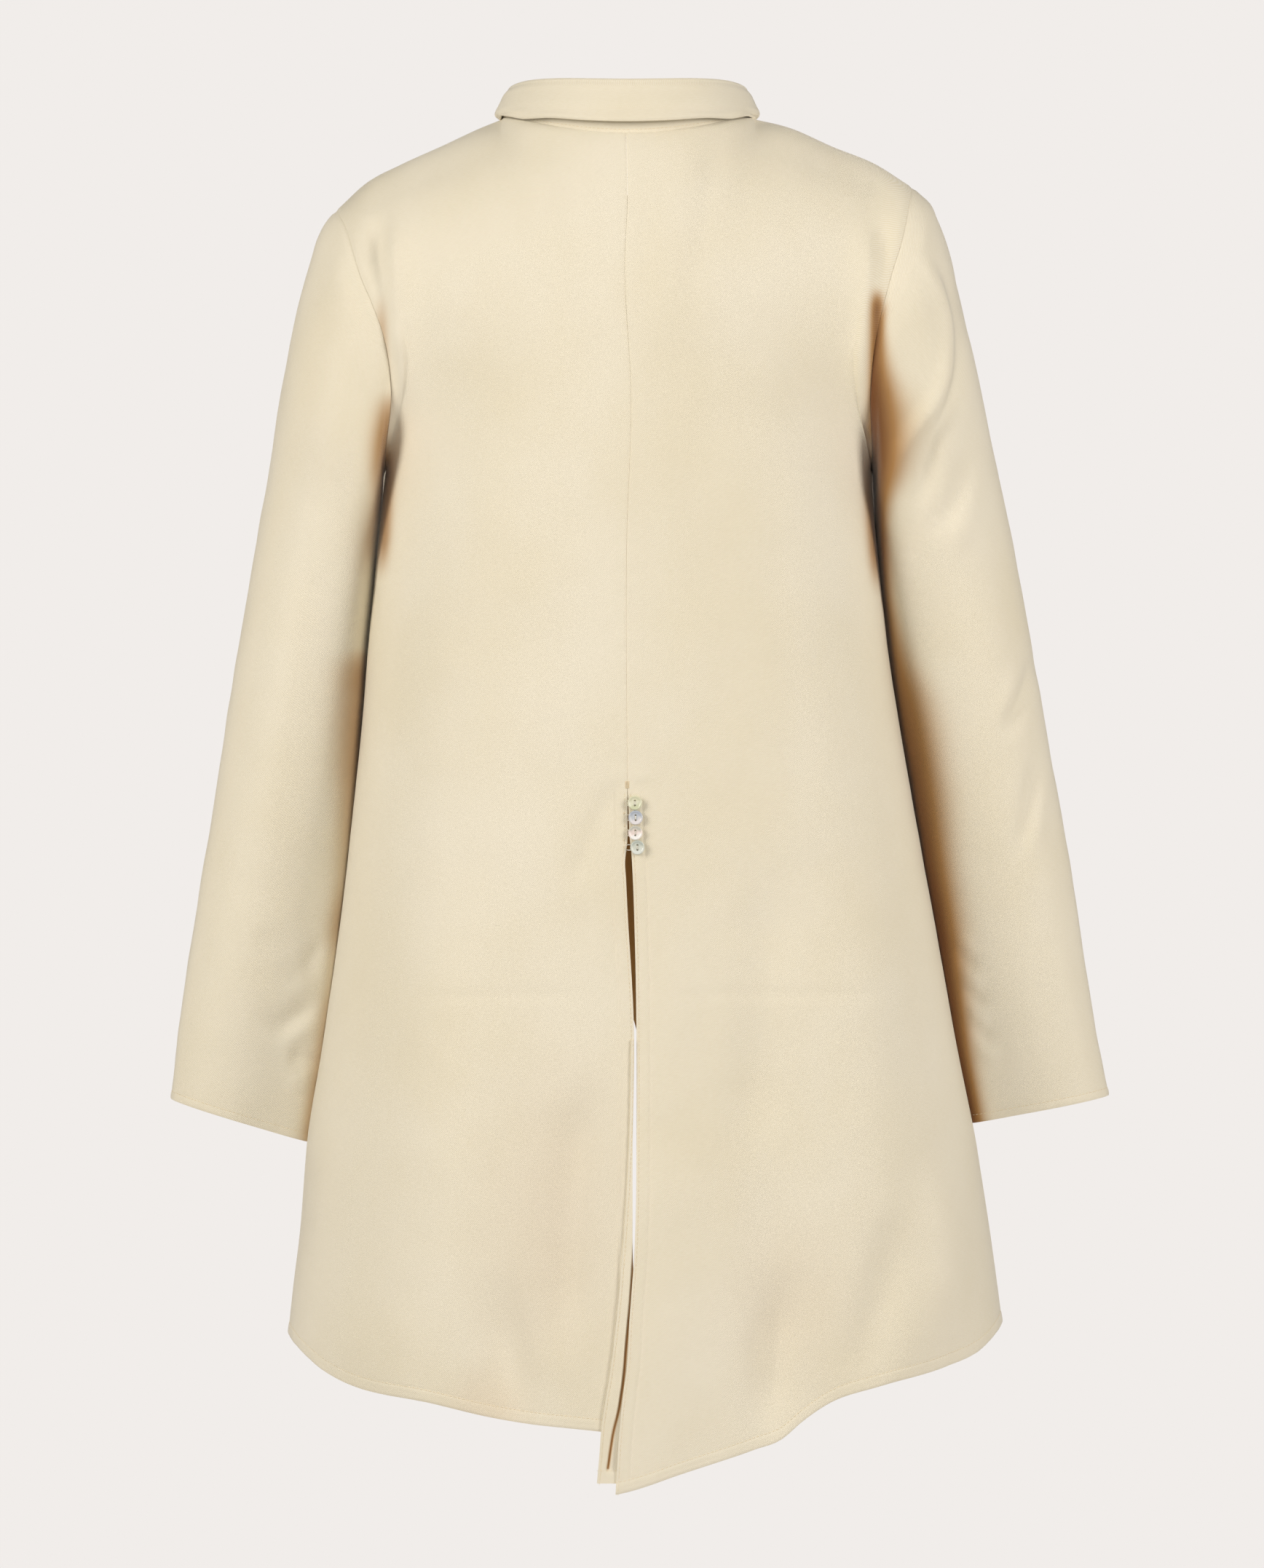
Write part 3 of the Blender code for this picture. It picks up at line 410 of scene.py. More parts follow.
# and painted dark shade on the back panels, as lines of (x, down): half width, strength, share that fades at
# each end
paintedPanelShade = {
    (right, back): (
        (((169, 118), (168, 165), (168, 230)), 4.5, 0.8, 0.15),
        (((168, 215), (167, 262), (171, 330)), 5, 0.55, 0.3),
        (((124, 715), (108, 790), (84, 880)), 38, 0.035, 0.5),
    ),
    (left, back): (
        (((167, 120), (166, 160), (166, 225)), 4, 0.25, 0.3),
        (((166, 210), (165, 255), (168, 320)), 5, 0.5, 0.3),
        (((38, 600), (48, 710), (54, 790), (70, 890)), 40, 0.05, 0.45),
        (((122, 842), (92, 868), (56, 884)), 22, 0.06, 0.45),
    ),
}


def curve(values, leaving, arriving, i, t):
    # Smooth curve from point i to the next, with its slopes at both
    start = (1 + 2 * t) * values[i] + t * leaving
    end = (3 - 2 * t) * values[i + 1] + (t - 1) * arriving
    return (1 - t) ** 2 * start + t ** 2 * end


def along(table, column, place):
    # Smooth curve through a table's rows
    knots = np.array([row[0] for row in table], float)
    values = np.array([row[column] for row in table], float)
    slopes = np.gradient(values, knots)
    place = np.clip(place, knots[0], knots[-1])
    i = np.clip(np.searchsorted(knots, place, side="right") - 1, 0, len(knots) - 2)
    step = knots[i + 1] - knots[i]
    t = (place - knots[i]) / step
    return curve(values, slopes[i] * step, slopes[i + 1] * step, i, t)


def ease(value):
    value = np.clip(value, 0.0, 1.0)
    return value * value * (3 - 2 * value)


def unit(vectors):
    return vectors / np.maximum(np.linalg.norm(vectors, axis=-1, keepdims=True), 1e-9)


def oval(angle):
    return np.cos(angle) * (1 + body["squareness"] * np.sin(angle) ** 2)


def topEdge(side, face, column):
    reach, drop, roundness = body["neck"][face]
    share, half = body["neckShare"], body["neckHalf"]
    turn = column / share * math.pi / 2
    shoulderY = face * body["shoulderY"]
    neckCos = np.cos(np.clip(turn, -math.pi / 2, math.pi / 2))
    neckY = shoulderY + (reach - shoulderY) * neckCos
    sideDown = body["shoulder"][side][0][1]
    dip = (1 - np.sqrt(1 - (roundness * neckCos) ** 2)) / (1 - math.sqrt(1 - roundness ** 2))
    neckDown = sideDown + (drop - sideDown) * dip
    tip = body["shoulder"][side][-1][0]
    seamX = half + (tip - half) * (column - share) / (1 - share)
    onNeck = column < share
    x = np.where(onNeck, half * np.sin(turn), seamX)
    y = np.where(onNeck, neckY, shoulderY)
    down = np.where(onNeck, neckDown, along(body["shoulder"][side], 1, seamX))
    return x, y, down


def bodyPoint(side, face, column, row):
    # column: 0 middle, 1 side; row: 0 top edge, 1 chest line, 2 underarm, 3 bar tack, 4 hem
    column, row = np.broadcast_arrays(np.asarray(column, float), np.asarray(row, float))
    table = body["side"][side]
    chest, underarm, tack = body["chestDown"], body["underarmDown"], body["tackDown"]
    angle = column * math.pi / 2
    drop = np.clip(row - 1, 0, 1) * math.pi / 2
    hem = along(body["hem"][side, face], 1, table[-1][1] * np.sin(angle))
    down = chest + (underarm - chest) * np.sin(drop)
    down = down + (tack - underarm) * np.clip(row - 2, 0, 1)
    down = down + (hem - tack) * np.clip(row - 3, 0, None)
    flat = 1 - ease((down - chest) / (body["smoothDown"] - chest))
    ringX = along(table, 1, down) * ((1 - flat) * np.sin(angle) + flat * column)
    edgeY = body["armholeDepth"] * np.cos(drop)
    depth = along(body["depth"], 1 if face == back else 2, down)
    nearEdge = np.clip(1 - oval(angle), 0, None) ** (1 + 5 * np.sin(drop) ** 2)
    ringY = depth * oval(angle) + edgeY * nearEdge
    topX, topY, topDown = topEdge(side, face, column)
    turn = np.clip(row, -0.5, 1) * math.pi / 2
    power = 1 + 0.5 * np.clip(1 - column / body["neckShare"], 0, 1)
    out = np.sign(np.sin(turn)) * np.abs(np.sin(turn)) ** power
    fall = 1 - np.abs(np.cos(turn)) ** power
    tipX, tipDown = body["shoulder"][side][-1]
    edgeDown = tipDown + (chest - tipDown) * (1 - np.cos(turn))
    pull = (along(table, 1, edgeDown) - tipX) / (table[5][1] - tipX)
    upper = row < 1
    x = np.where(upper, topX + (ringX - topX) * pull, ringX)
    y = np.where(upper, topY + (ringY - topY) * out, ringY)
    down = np.where(upper, topDown + (chest - topDown) * fall, down)
    return np.stack([side * x, face * y, -down], axis=-1)


def bodyNormal(side, face, column, row):
    column, row = np.broadcast_arrays(np.asarray(column, float), np.asarray(row, float))
    across = bodyPoint(side, face, column + 0.004, row) - bodyPoint(side, face, column - 0.004, row)
    above = np.where(column < body["neckShare"] - 0.001, np.maximum(row - 0.02, 0), row - 0.02)
    below = bodyPoint(side, face, column, row + 0.02) - bodyPoint(side, face, column, above)
    return unit(side * face * np.cross(across, below))


def foldHeight(side, face, x, down):
    height = np.zeros(x.shape)
    for foldSide, foldFace, x0, down0, x1, down1, half, high, fadeEnds in folds:
        if (foldSide, foldFace) != (side, face):
            continue
        spanX, spanDown = x1 - x0, down1 - down0
        length = math.hypot(spanX, spanDown)
        way = ((x - x0) * spanX + (down - down0) * spanDown) / length ** 2
        off = ((x - x0) * spanDown - (down - down0) * spanX) / length
        ends = ease(way / fadeEnds + 0.5) * ease((1 - way) / fadeEnds + 0.5)
        height += high * ends * np.exp(-(off / half) ** 2)
    return height


def centreColumn(side, face, row):
    step = 0.01
    middle = bodyPoint(side, face, 0.0, row)
    pace = side * (bodyPoint(side, face, step, row) - middle)[..., 0] / step
    down = -middle[..., 2]
    edge = along(body["centre"][side, face], 1, down)
    if face == back:
        edge = np.where(down < body["tackDown"], side * along(body["centreSeam"], 1, down), edge)
    return edge / pace


def lapShare(own):
    near, far = body["lap"]
    return ease((far - own) / (far - near))


def layerStep(side, face, points):
    own, down = side * points[..., 0], -points[..., 2]
    if (side, face) == (left, front):
        return -body["lapStep"] * lapShare(own)
    if (side, face) == (right, back):
        (top, full), (near, far) = body["liftDown"], body["liftWidth"]
        return body["lift"] * ease((down - top) / (full - top)) * ease((far - own) / (far - near))
    return np.zeros(own.shape)


print("body shape ready")

# ---- cloth meshes

cloth = {
    "thick": 0.7, "hemThick": 1.5, "facingThick": 1.3,
    "hemWidth": 9.1, "hemStitch": 8.0,
    "facing": 8.2, "facingStitch": 1.8, "frontStitches": (1.8, 28.0),
    "slitStart": 6,             # the facing begins over this length below the bar tack
    "sharpAngle": 50,
    "paintedWarmShare": (1.5, 0.85),      # painted warm shade round the painted dark shade: share of the dark shade's, most
}


def lengths(grid, axis):
    # Distance along the grid's lines from their first point
    steps = np.linalg.norm(np.diff(grid, axis=axis), axis=-1)
    pad = [(0, 0), (0, 0)]
    pad[axis] = (1, 0)
    return np.pad(np.cumsum(steps, axis=axis), pad)


def finer(grid, axis, times):
    # Smooth curve through a grid's points along one axis
    grid = np.moveaxis(grid, axis, 0)
    slopes = np.gradient(grid, axis=0)
    place = np.linspace(0, len(grid) - 1, (len(grid) - 1) * times + 1)
    i = np.minimum(place.astype(int), len(grid) - 2)
    t = (place - i)[:, None, None]
    return np.moveaxis(curve(grid, slopes[i], slopes[i + 1], i, t), 0, axis)


def finerLine(points, times):
    return finer(np.asarray(points, float)[:, None], 0, times)[:, 0]


def wayAlong(line):
    return np.concatenate([[0], np.cumsum(np.linalg.norm(np.diff(line, axis=0), axis=1))])


def strokeHeights(strokes, x, down):
    # Soft ridges and troughs along listed lines
    total = np.zeros(x.shape)
    for line, half, high, fadeEnds in strokes:
        line = finerLine(line, 4)
        gone = wayAlong(line)
        nearest, way = np.full(x.shape, 1e9), np.zeros(x.shape)
        for k in range(len(line) - 1):
            step = line[k + 1] - line[k]
            offX, offDown = x - line[k, 0], down - line[k, 1]
            t = np.clip((offX * step[0] + offDown * step[1]) / (step @ step), 0, 1)
            gap = np.hypot(offX - t * step[0], offDown - t * step[1])
            way = np.where(gap < nearest, (gone[k] + t * (gone[k + 1] - gone[k])) / gone[-1], way)
            nearest = np.minimum(gap, nearest)
        ends = ease(way / fadeEnds) * ease((1 - way) / fadeEnds)
        total += high * ends * np.exp(-(nearest / half) ** 2)
    return total


latticeSize, latticeMiddle = 256, 64


@functools.cache
def lattice(seed):
    return np.random.default_rng(seed).uniform(-1, 1, (latticeSize, latticeSize))


def softNoise(x, y, size, seed):
    # Smooth random heights from -1 to 1, about one bump per size
    gx, gy = (np.asarray(place, float) / size + latticeMiddle for place in (x, y))
    ix, iy = np.floor(gx).astype(int), np.floor(gy).astype(int)
    tx, ty = ease(gx - ix), ease(gy - iy)
    a, b, c, d = (lattice(seed)[(ix + beside) % latticeSize, (iy + above) % latticeSize]
                  for beside, above in ((0, 0), (1, 0), (0, 1), (1, 1)))
    return (a * (1 - tx) + b * tx) * (1 - ty) + (c * (1 - tx) + d * tx) * ty


def bump(distance, centre, width):
    return np.exp(-((distance - centre) / width) ** 2)


def dent(kind, distance, centre=0):
    depth, width = sewing[kind]
    return depth * bump(distance, centre, width)


def rise(kind, edge, distance):
    # A step up to where the distance falls short of the edge
    height, beyond, width = sewing[kind]
    return height * ease((edge + beyond - distance) / width)


def thickness(full, share):
    return cloth["thick"] + (full - cloth["thick"]) * share


def gridNormals(points, ring=False):
    # Outward if columns run anticlockwise seen from outside and rows run down
    if ring:
        around = np.roll(points, -1, axis=1) - np.roll(points, 1, axis=1)
    else:
        around = np.gradient(points, axis=1)
    return unit(np.cross(np.gradient(points, axis=0), around))


def wallMesh(name, outer, inner, runs=1, ring=False, flat=None, tones=None):
    # Closed wall between two grids of points, with a UV map in metres of cloth. runs is 1 where
    # the columns go to the right seen from outside and -1 where they go to the left, so that the
    # twill rises the same way on every piece. flat: place in the cloth in mm. tones: share of the
    # painted dark shade outside, with painted warm shade round it, and of painted warm shade within.
    rows, columns = outer.shape[:2]
    count = rows * columns
    points = np.concatenate([outer.reshape(-1, 3), inner.reshape(-1, 3)]) * mm
    index = np.arange(count).reshape(rows, columns)
    if ring:
        index = np.concatenate([index, index[:, :1]], 1)
    quads = np.stack([index[:-1, :-1], index[1:, :-1], index[1:, 1:], index[:-1, 1:]], -1).reshape(-1, 4)
    faces = [quads, quads[:, ::-1] + count]
    rims = [(index[0], 1), (index[-1], -1)] + ([] if ring else [(index[:, 0], -1), (index[:, -1], 1)])
    for line, turn in rims:
        a, b = line[:-1], line[1:]
        faces.append(np.stack([a, b, b + count, a + count], -1)[:, ::turn])
    faces = np.concatenate(faces)
    mesh = bpy.data.meshes.new(name)
    mesh.vertices.add(len(points))
    mesh.vertices.foreach_set("co", points.ravel())
    mesh.loops.add(faces.size)
    mesh.loops.foreach_set("vertex_index", faces.ravel())
    mesh.polygons.add(len(faces))
    mesh.polygons.foreach_set("loop_start", np.arange(len(faces)) * 4)
    mesh.update(calc_edges=True)
    across, down = flat if flat else (lengths(outer, 1), lengths(outer, 0))
    across, down = across * mm, down * mm
    uv = np.stack([across, down], -1).reshape(-1, 2)
    uv = np.concatenate([uv, uv])[faces.ravel()]
    if ring:    # the last column of faces closes the ring without running the map backwards
        column = faces % columns
        closing = (column == 0) & (column.max(axis=1, keepdims=True) == columns - 1)
        circle = across[:, -1] + np.linalg.norm(outer[:, 0] - outer[:, -1], axis=-1) * mm
        rowOf = (faces % count) // columns
        uv[:, 0] = np.where(closing.ravel(), circle[rowOf.ravel()], uv[:, 0])
    uv[:, 0] *= runs
    # Painted shade as point attributes: dark on the outer face, warm round it, and warm on the inner face
    if tones:
        paintedShade, inside = tones
        paintedWarmShade = np.clip(paintedShade * cloth["paintedWarmShare"][0], 0, cloth["paintedWarmShare"][1])
        for label, share in (("paintedShade", (paintedShade, 0 * paintedShade)), ("inside", (paintedWarmShade, inside))):
            attribute = mesh.attributes.new(label, "FLOAT", "POINT")
            attribute.data.foreach_set("value", np.concatenate([one.ravel() for one in share]))
    layer = mesh.uv_layers.new(name="cloth")
    layer.data.foreach_set("uv", uv.ravel())
    work = bmesh.new()
    work.from_mesh(mesh)
    bmesh.ops.recalc_face_normals(work, faces=work.faces)
    work.to_mesh(mesh)
    work.free()
    mesh.shade_smooth()
    mesh.set_sharp_from_angle(angle=math.radians(cloth["sharpAngle"]))
    return mesh


def addPiece(name, mesh, finish, nodes=()):
    # finish is None for a mesh that has its material
    made = newObject(name, mesh)
    if finish:
        mesh.materials.append(finish)
    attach(made, "root")
    if nodes:
        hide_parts(*nodes)


# ---- panels

panel = {
    # grid intervals: top edge to chest, to underarm, to the bar tack, to the hem band, hem band
    back: {"rows": (46, 28, 74, 132, 12), "columns": 88, "edgeColumns": 26},
    front: {"rows": (46, 28, 48, 84, 8), "columns": 50, "edgeColumns": 14},
    "hemBand": 0.030,        # share of the skirt's rows in the hem band
    "edgeBand": 0.055,       # share of the columns beside the free edge
    "softenTimes": (90, 180),    # along the rows, down the columns
    "sewnAway": (165, 300),      # about how far the side is from the middle: at the armhole, below it
    "topAway": 130, "sewnFade": 14,     # and how far the chest is below the top, and folds' fading
    # size, height and seed of slow unevenness, and the calm part round the buttons
    "uneven": ((46, 0.5, 21), (19, 0.22, 31)), "calm": (8, 30, 0.2),
    # painted warm shade on the inner face within the body: share of the tint, where it starts and how far to
    # its full, where it ends
    "inside": (0.85, 180, 150, 800, 80),
}
# Height or depth, and width, of what sewing does to the cloth
sewing = {
    "seam": (0.5, 1.3), "sideAllowance": (0.16, 11, 2),
    "hemRise": (0.28, 1.5, 2.0), "hemStitch": (0.42, 0.8), "hemEdge": (0.5, 0.7), "hemRipple": (0.20, 7.0),
    "centre": (0.7, 0.9), "centreAllowance": (0.14, 12, 2.5), "centreRipple": (0.16, 7),
    "facing": (0.36, 0.6, 1.1), "facingEdge": (0.22, 0.8), "facingStitch": (0.22, 0.6),
    "edge": (0.35, 0.6), "edgeRipple": (0.12, 5),
    "frontEdge": (0.3, 0.8), "frontStitch": (0.2, 0.8),
    "cuffRise": (0.25, 1.2, 1.6), "cuffStitch": (0.4, 0.7), "cuffEdge": (0.4, 0.6), "cuffRipple": (0.18, 6.0),
    "cap": (0.5, 4), "capSeam": (0.4, 1.1),
    "standSeam": (0.45, 1.0), "standStitch": (0.15, 0.7), "standRipple": (0.18, 6),
    "fallEdge": (0.5, 0.8), "turnedStitch": (0.25, 0.5), "turnedEdge": (0.4, 0.6),
}


def panelRows(face):
    upper, armhole, waist, skirt, hem = panel[face]["rows"]
    parts = [np.linspace(0, 1, upper + 1), np.linspace(1, 2, armhole + 1)[1:],
             np.linspace(2, 3, waist + 1)[1:], np.linspace(3, 4 - panel["hemBand"], skirt + 1)[1:],
             np.linspace(4 - panel["hemBand"], 4, hem + 1)[1:]]
    return np.concatenate(parts)


def panelColumns(side, face, row):
    edge = np.linspace(0, panel["edgeBand"], panel[face]["edgeColumns"] + 1)
    rest = np.linspace(panel["edgeBand"], 1, panel[face]["columns"] + 1)[1:]
    columns = np.concatenate([edge, rest])
    shift = np.clip(1 - columns / body["neckShare"], 0, 1)
    return columns[None, :] + centreColumn(side, face, row)[:, None] * shift[None, :]


def seamHeights(side, face, row, column, points):
    # What sewing does to the cloth's height: seams, hem, facing and their puckers
    across, down = lengths(points, 1), lengths(points, 0)
    toHem = down[-1:, :] - down
    toSide = across[:, -1:] - across
    real = -points[..., 2]
    hem, facing = cloth["hemStitch"], cloth["facing"]
    height = -dent("seam", toSide) - dent("seam", down) * (column > 0)
    height += rise("sideAllowance", 0, toSide) * (row > 2)
    height += rise("hemRise", hem, toHem) - dent("hemStitch", toHem, hem) - dent("hemEdge", toHem)
    ripple = softNoise(across, toHem * 0.5, 7.0, 11) + 0.6 * softNoise(across, toHem, 3.4, 12)
    height += ripple * dent("hemRipple", toHem, hem * 0.6)
    if face == back:
        slit = ease((real - body["tackDown"]) / cloth["slitStart"])
        sewn = rise("centreAllowance", 0, across) - dent("centre", across)
        sewn += softNoise(real, across * 0.3, 9.0, 13) * dent("centreRipple", across, 3)
        loose = rise("facing", facing, across) - dent("facingEdge", across, facing + 1.1)
        loose -= dent("facingStitch", across, cloth["facingStitch"]) + dent("edge", across)
        loose += softNoise(real, across, 6.0, 14) * dent("edgeRipple", across, 4)
        height += (1 - slit) * sewn + slit * loose
    else:
        height -= dent("frontEdge", across) + dent("frontStitch", across, 6.0)
    return height, across, down, toHem


def blurred(grid, times):
    for _ in range(times):
        grid = np.concatenate([grid[:1], (grid[:-2] + 2 * grid[1:-1] + grid[2:]) / 4, grid[-1:]])
    return grid


def softened(points, row, column):
    # The corner between neckline and shoulder seam fades out down the panel
    sideways, downwards = panel["softenTimes"]
    soft = blurred(points.swapaxes(0, 1), sideways).swapaxes(0, 1)
    weight = ease(row / 0.35) * ease((2.6 - row) / 0.6)
    weight = weight * ease((column - 0.1) / 0.14) * ease((0.985 - column) / 0.12)
    return points + (blurred(soft, downwards) - points) * weight[..., None]


def panelSurface(side, face):
    row = panelRows(face)
    column = panelColumns(side, face, row)
    row = row[:, None] + np.zeros(column.shape)
    points = softened(bodyPoint(side, face, column, row), row, column)
    edgeNormals = bodyNormal(side, face, column, row)
    normals = gridNormals(points)
    normals *= np.sign(np.sum(normals * edgeNormals))
    normals = unit(edgeNormals + (normals - edgeNormals) * ease(row / 0.12)[..., None])
    own, real = side * points[..., 0], -points[..., 2]
    sewn = (1 - column) * np.where(row <= 2, *panel["sewnAway"])
    fade = ease(np.minimum(sewn, row * panel["topAway"]) / panel["sewnFade"])
    seams, across, down, toHem = seamHeights(side, face, row, column, points)
    slow = sum(height * softNoise(own, real, size, seed + side + 3 * face)
               for size, height, seed in panel["uneven"])
    near, far, least = panel["calm"]
    slow = slow * (least + (1 - least) * ease((np.abs(own) - near) / far))
    folded = foldHeight(side, face, own, real) + strokeHeights(creases[side, face], own, real)
    height = (folded + slow) * fade + seams + layerStep(side, face, points)
    thick = thickness(cloth["hemThick"], ease((cloth["hemWidth"] - toHem) / 1.2))
    if face == back:
        slit = ease((real - body["tackDown"]) / cloth["slitStart"])
        slit = slit * ease((cloth["facing"] + 0.6 - across) / 1.2)
        thick = np.maximum(thick, thickness(cloth["facingThick"], slit))
    underarm = sum(panel[face]["rows"][:2])
    flat = (across + own[:, :1], down - down[underarm] + real[underarm])
    # Painted dark shade along the sides at the underarm and in soft patches low on the back panels
    paintedShade = np.clip(strokeHeights(paintedPanelShade.get((side, face), ()), own, real), 0, 1)
    # Painted warm shade on the inner face of the front panels, from below the chest to near the hem
    most, start, grow, end, fall = panel["inside"]
    inside = most * ease((real - start) / grow) * ease((end - real) / fall) * (face == front)
    return {"points": points + normals * height[..., None], "normals": normals, "thick": thick,
            "row": row, "across": across, "toHem": toHem, "flat": flat, "tones": (paintedShade, inside)}


def drawnBack(outer, inner, axis, index):
    # Both faces moved back from a sewn edge into their own cloth
    nearer = np.moveaxis(outer, axis, 0)
    toward = unit(nearer[index + (1 if index == 0 else -1)] - nearer[index]) * body["seam"] / 2
    nearer[index] += toward
    np.moveaxis(inner, axis, 0)[index] += toward


def mitre(own, other):
    agree = np.clip(np.sum(own * other, axis=-1, keepdims=True), 0, 1)
    return unit(own + agree * other)


# ---- sleeves

sleeve = {
    # outer line: down, distance from the middle
    "outer": {
        left: ((62, 200.5), (67.5, 206), (80, 213), (92.5, 217), (117.5, 224.5), (167.5, 235.5),
               (242.5, 248.5), (317.5, 261.5), (417.5, 278.5), (517.5, 294.5), (617.5, 310.5),
               (674, 316.5)),
        right: ((45.5, 195), (55, 207), (67.5, 213), (92.5, 222), (117.5, 228), (167.5, 240.5),
                (217.5, 251), (317.5, 272), (417.5, 290), (517.5, 307.5), (617.5, 323),
                (671.5, 333.5)),
    },
    "cuff": {left: (674.0, 703.0), right: (671.5, 690.0)},
    # share of the length, how far forward it hangs, half depth, gap to the body's side
    "hang": ((0.0, 0, 55, 0.0), (0.04, 2, 59, 1.6), (0.1, 8, 62, 1.4), (0.3, 24, 58, 0.4),
             (0.6, 32, 48, -0.2), (1.0, 34, 30, -1.5)),
    "blend": 0.22,
    # share of the length, how square the side next to the body is
    "box": ((0.0, 0.0), (0.12, 0.35), (0.3, 0.42), (0.6, 0.5), (0.85, 0.66), (1.0, 0.66)),
    "rings": (186, 12),      # down to the hem band, hem band
    "hemBand": 0.018,
    "hemStitch": 5.5, "hemWidth": 6.5,
    "uneven": ((40, 0.5, 41), (17, 0.2, 44)),
    "sewnFade": 14,
}


def sleeveSurface(side, loop, places):
    # places: where each point of the armhole loop stands, counted as in the solids' coarse ring
    turn = places * math.pi / 10
    upper, hem = sleeve["rings"]
    share = np.concatenate([np.linspace(0, 1 - sleeve["hemBand"], upper + 1) ** 1.05,
                            np.linspace((1 - sleeve["hemBand"]) ** 1.05, 1, hem + 1)[1:]])
    outerLine = sleeve["outer"][side]
    tipX, tipDown = outerLine[0][1], outerLine[0][0]
    outerEnd, innerEnd = sleeve["cuff"][side]
    outerDown = tipDown + (outerEnd - tipDown) * share
    innerDown = body["underarmDown"] + (innerEnd - body["underarmDown"]) * share ** 1.6
    outerX = along(outerLine, 1, outerDown)
    innerX = along(body["side"][side], 1, innerDown) + along(sleeve["hang"], 3, share)
    forward, depth = along(sleeve["hang"], 1, share), along(sleeve["hang"], 2, share)
    power = 1 - along(sleeve["box"], 1, share)[:, None] * (np.cos(turn) < 0)
    wide = np.sign(np.cos(turn)) * np.abs(np.cos(turn)) ** power
    deep = np.sign(np.sin(turn)) * np.abs(np.sin(turn)) ** power
    x, down = (((far + near) / 2)[:, None] + ((far - near) / 2)[:, None] * wide
               for far, near in ((outerX, innerX), (outerDown, innerDown)))
    y = -forward[:, None] + depth[:, None] * deep
    rings = np.stack([side * x, y, -down], axis=-1)
    fade = 1 - ease(share / sleeve["blend"])
    rings = rings + (loop - rings[0])[None] * fade[:, None, None]
    normals = gridNormals(rings, ring=True) * side
    fromTop, around = lengths(rings, 0), lengths(rings, 1)
    toCuff = fromTop[-1:] - fromTop
    own, real = side * rings[..., 0], -rings[..., 2]
    height = np.zeros(real.shape)
    facing = np.sin(turn)[None] + np.zeros(real.shape)
    for face in (back, front):
        height += strokeHeights(creases["sleeve", side, face], own, real) * ease(face * facing * 3 + 0.2)
    height += sum(high * softNoise(around, real, size, seed + side) for size, high, seed in sleeve["uneven"])
    height *= ease(fromTop / sleeve["sewnFade"])
    hem = sleeve["hemStitch"]
    height += rise("cuffRise", hem, toCuff) - dent("cuffStitch", toCuff, hem) - dent("cuffEdge", toCuff)
    ripple = softNoise(around, toCuff * 0.5, 6.0, 51) + 0.6 * softNoise(around, toCuff, 3.0, 52)
    height += ripple * dent("cuffRipple", toCuff, hem * 0.6)
    height += dent("cap", fromTop, 4) - dent("capSeam", fromTop)     # the cap rolls at its seam
    thick = thickness(cloth["hemThick"], ease(sleeve["hemWidth"] - toCuff))
    # Painted dark shade on the back of the sleeve beside the body
    fromBody = np.clip(own - along(body["side"][side], 1, real), 0, None)
    paintedShade = along(paintedSleeveShade[side], 1, real) * np.exp(-(fromBody / along(paintedSleeveShade[side], 2, real)) ** 2)
    paintedShade = np.clip(paintedShade * ease(facing * 2 + 0.8), 0, 1)
    return {"points": rings + normals * height[..., None], "normals": normals, "thick": thick,
            "toCuff": toCuff, "flat": (around, -toCuff), "tones": (paintedShade, 0 * paintedShade)}


surfaces = {}


def makeCloth(name, surface, normals, drawn, **options):
    # Wall of one surface, drawn back from its sewn edges (axis, index)
    outer = surface["points"]
    inner = outer - normals * surface["thick"][..., None]
    for axis, index in drawn:
        drawnBack(outer, inner, axis, index)
    mesh = wallMesh(name, outer, inner, flat=surface["flat"], tones=surface["tones"], **options)
    addPiece(name + "_cloth", mesh, clothMaterial, [name])


def makeBodyAndSleeves():
    for side, word in ((left, "left"), (right, "right")):
        panels = {face: panelSurface(side, face) for face in (back, front)}
        seam = sum(panel[back]["rows"][:2])
        row = panels[back]["row"][:seam + 1, 0]
        coarse = np.where(row <= 1, row * 6, 6 + (row - 1) * 4)
        places = np.concatenate([coarse, 20 - coarse[1:seam][::-1]])
        loop, loopNormals = (np.concatenate([panels[back][part][:seam + 1, -1],
                                             panels[front][part][1:seam, -1][::-1]])
                             for part in ("points", "normals"))
        tube = sleeveSurface(side, loop, places)
        first = tube["normals"][0].copy()
        tube["normals"][0] = mitre(first, loopNormals)
        makeCloth("sleeve_" + word, tube, tube["normals"], [(0, 0)], runs=side, ring=True)
        surfaces["sleeve", side] = tube
        for face, faceWord in ((back, "back"), (front, "front")):
            one = surfaces[face, side] = panels[face]
            sleeveSide = first[:seam + 1] if face == back else np.concatenate([first[:1], first[seam:][::-1]])
            normals = one["normals"].copy()
            normals[:seam + 1, -1] = mitre(normals[:seam + 1, -1], sleeveSide)
            drawn = [(0, 0), (1, -1)] + [(1, 0)] * (face == back)
            makeCloth(faceWord + "_" + word, one, normals, drawn, runs=-side * face)
        print(word, "panels and sleeve made")


makeBodyAndSleeves()

# ---- collar

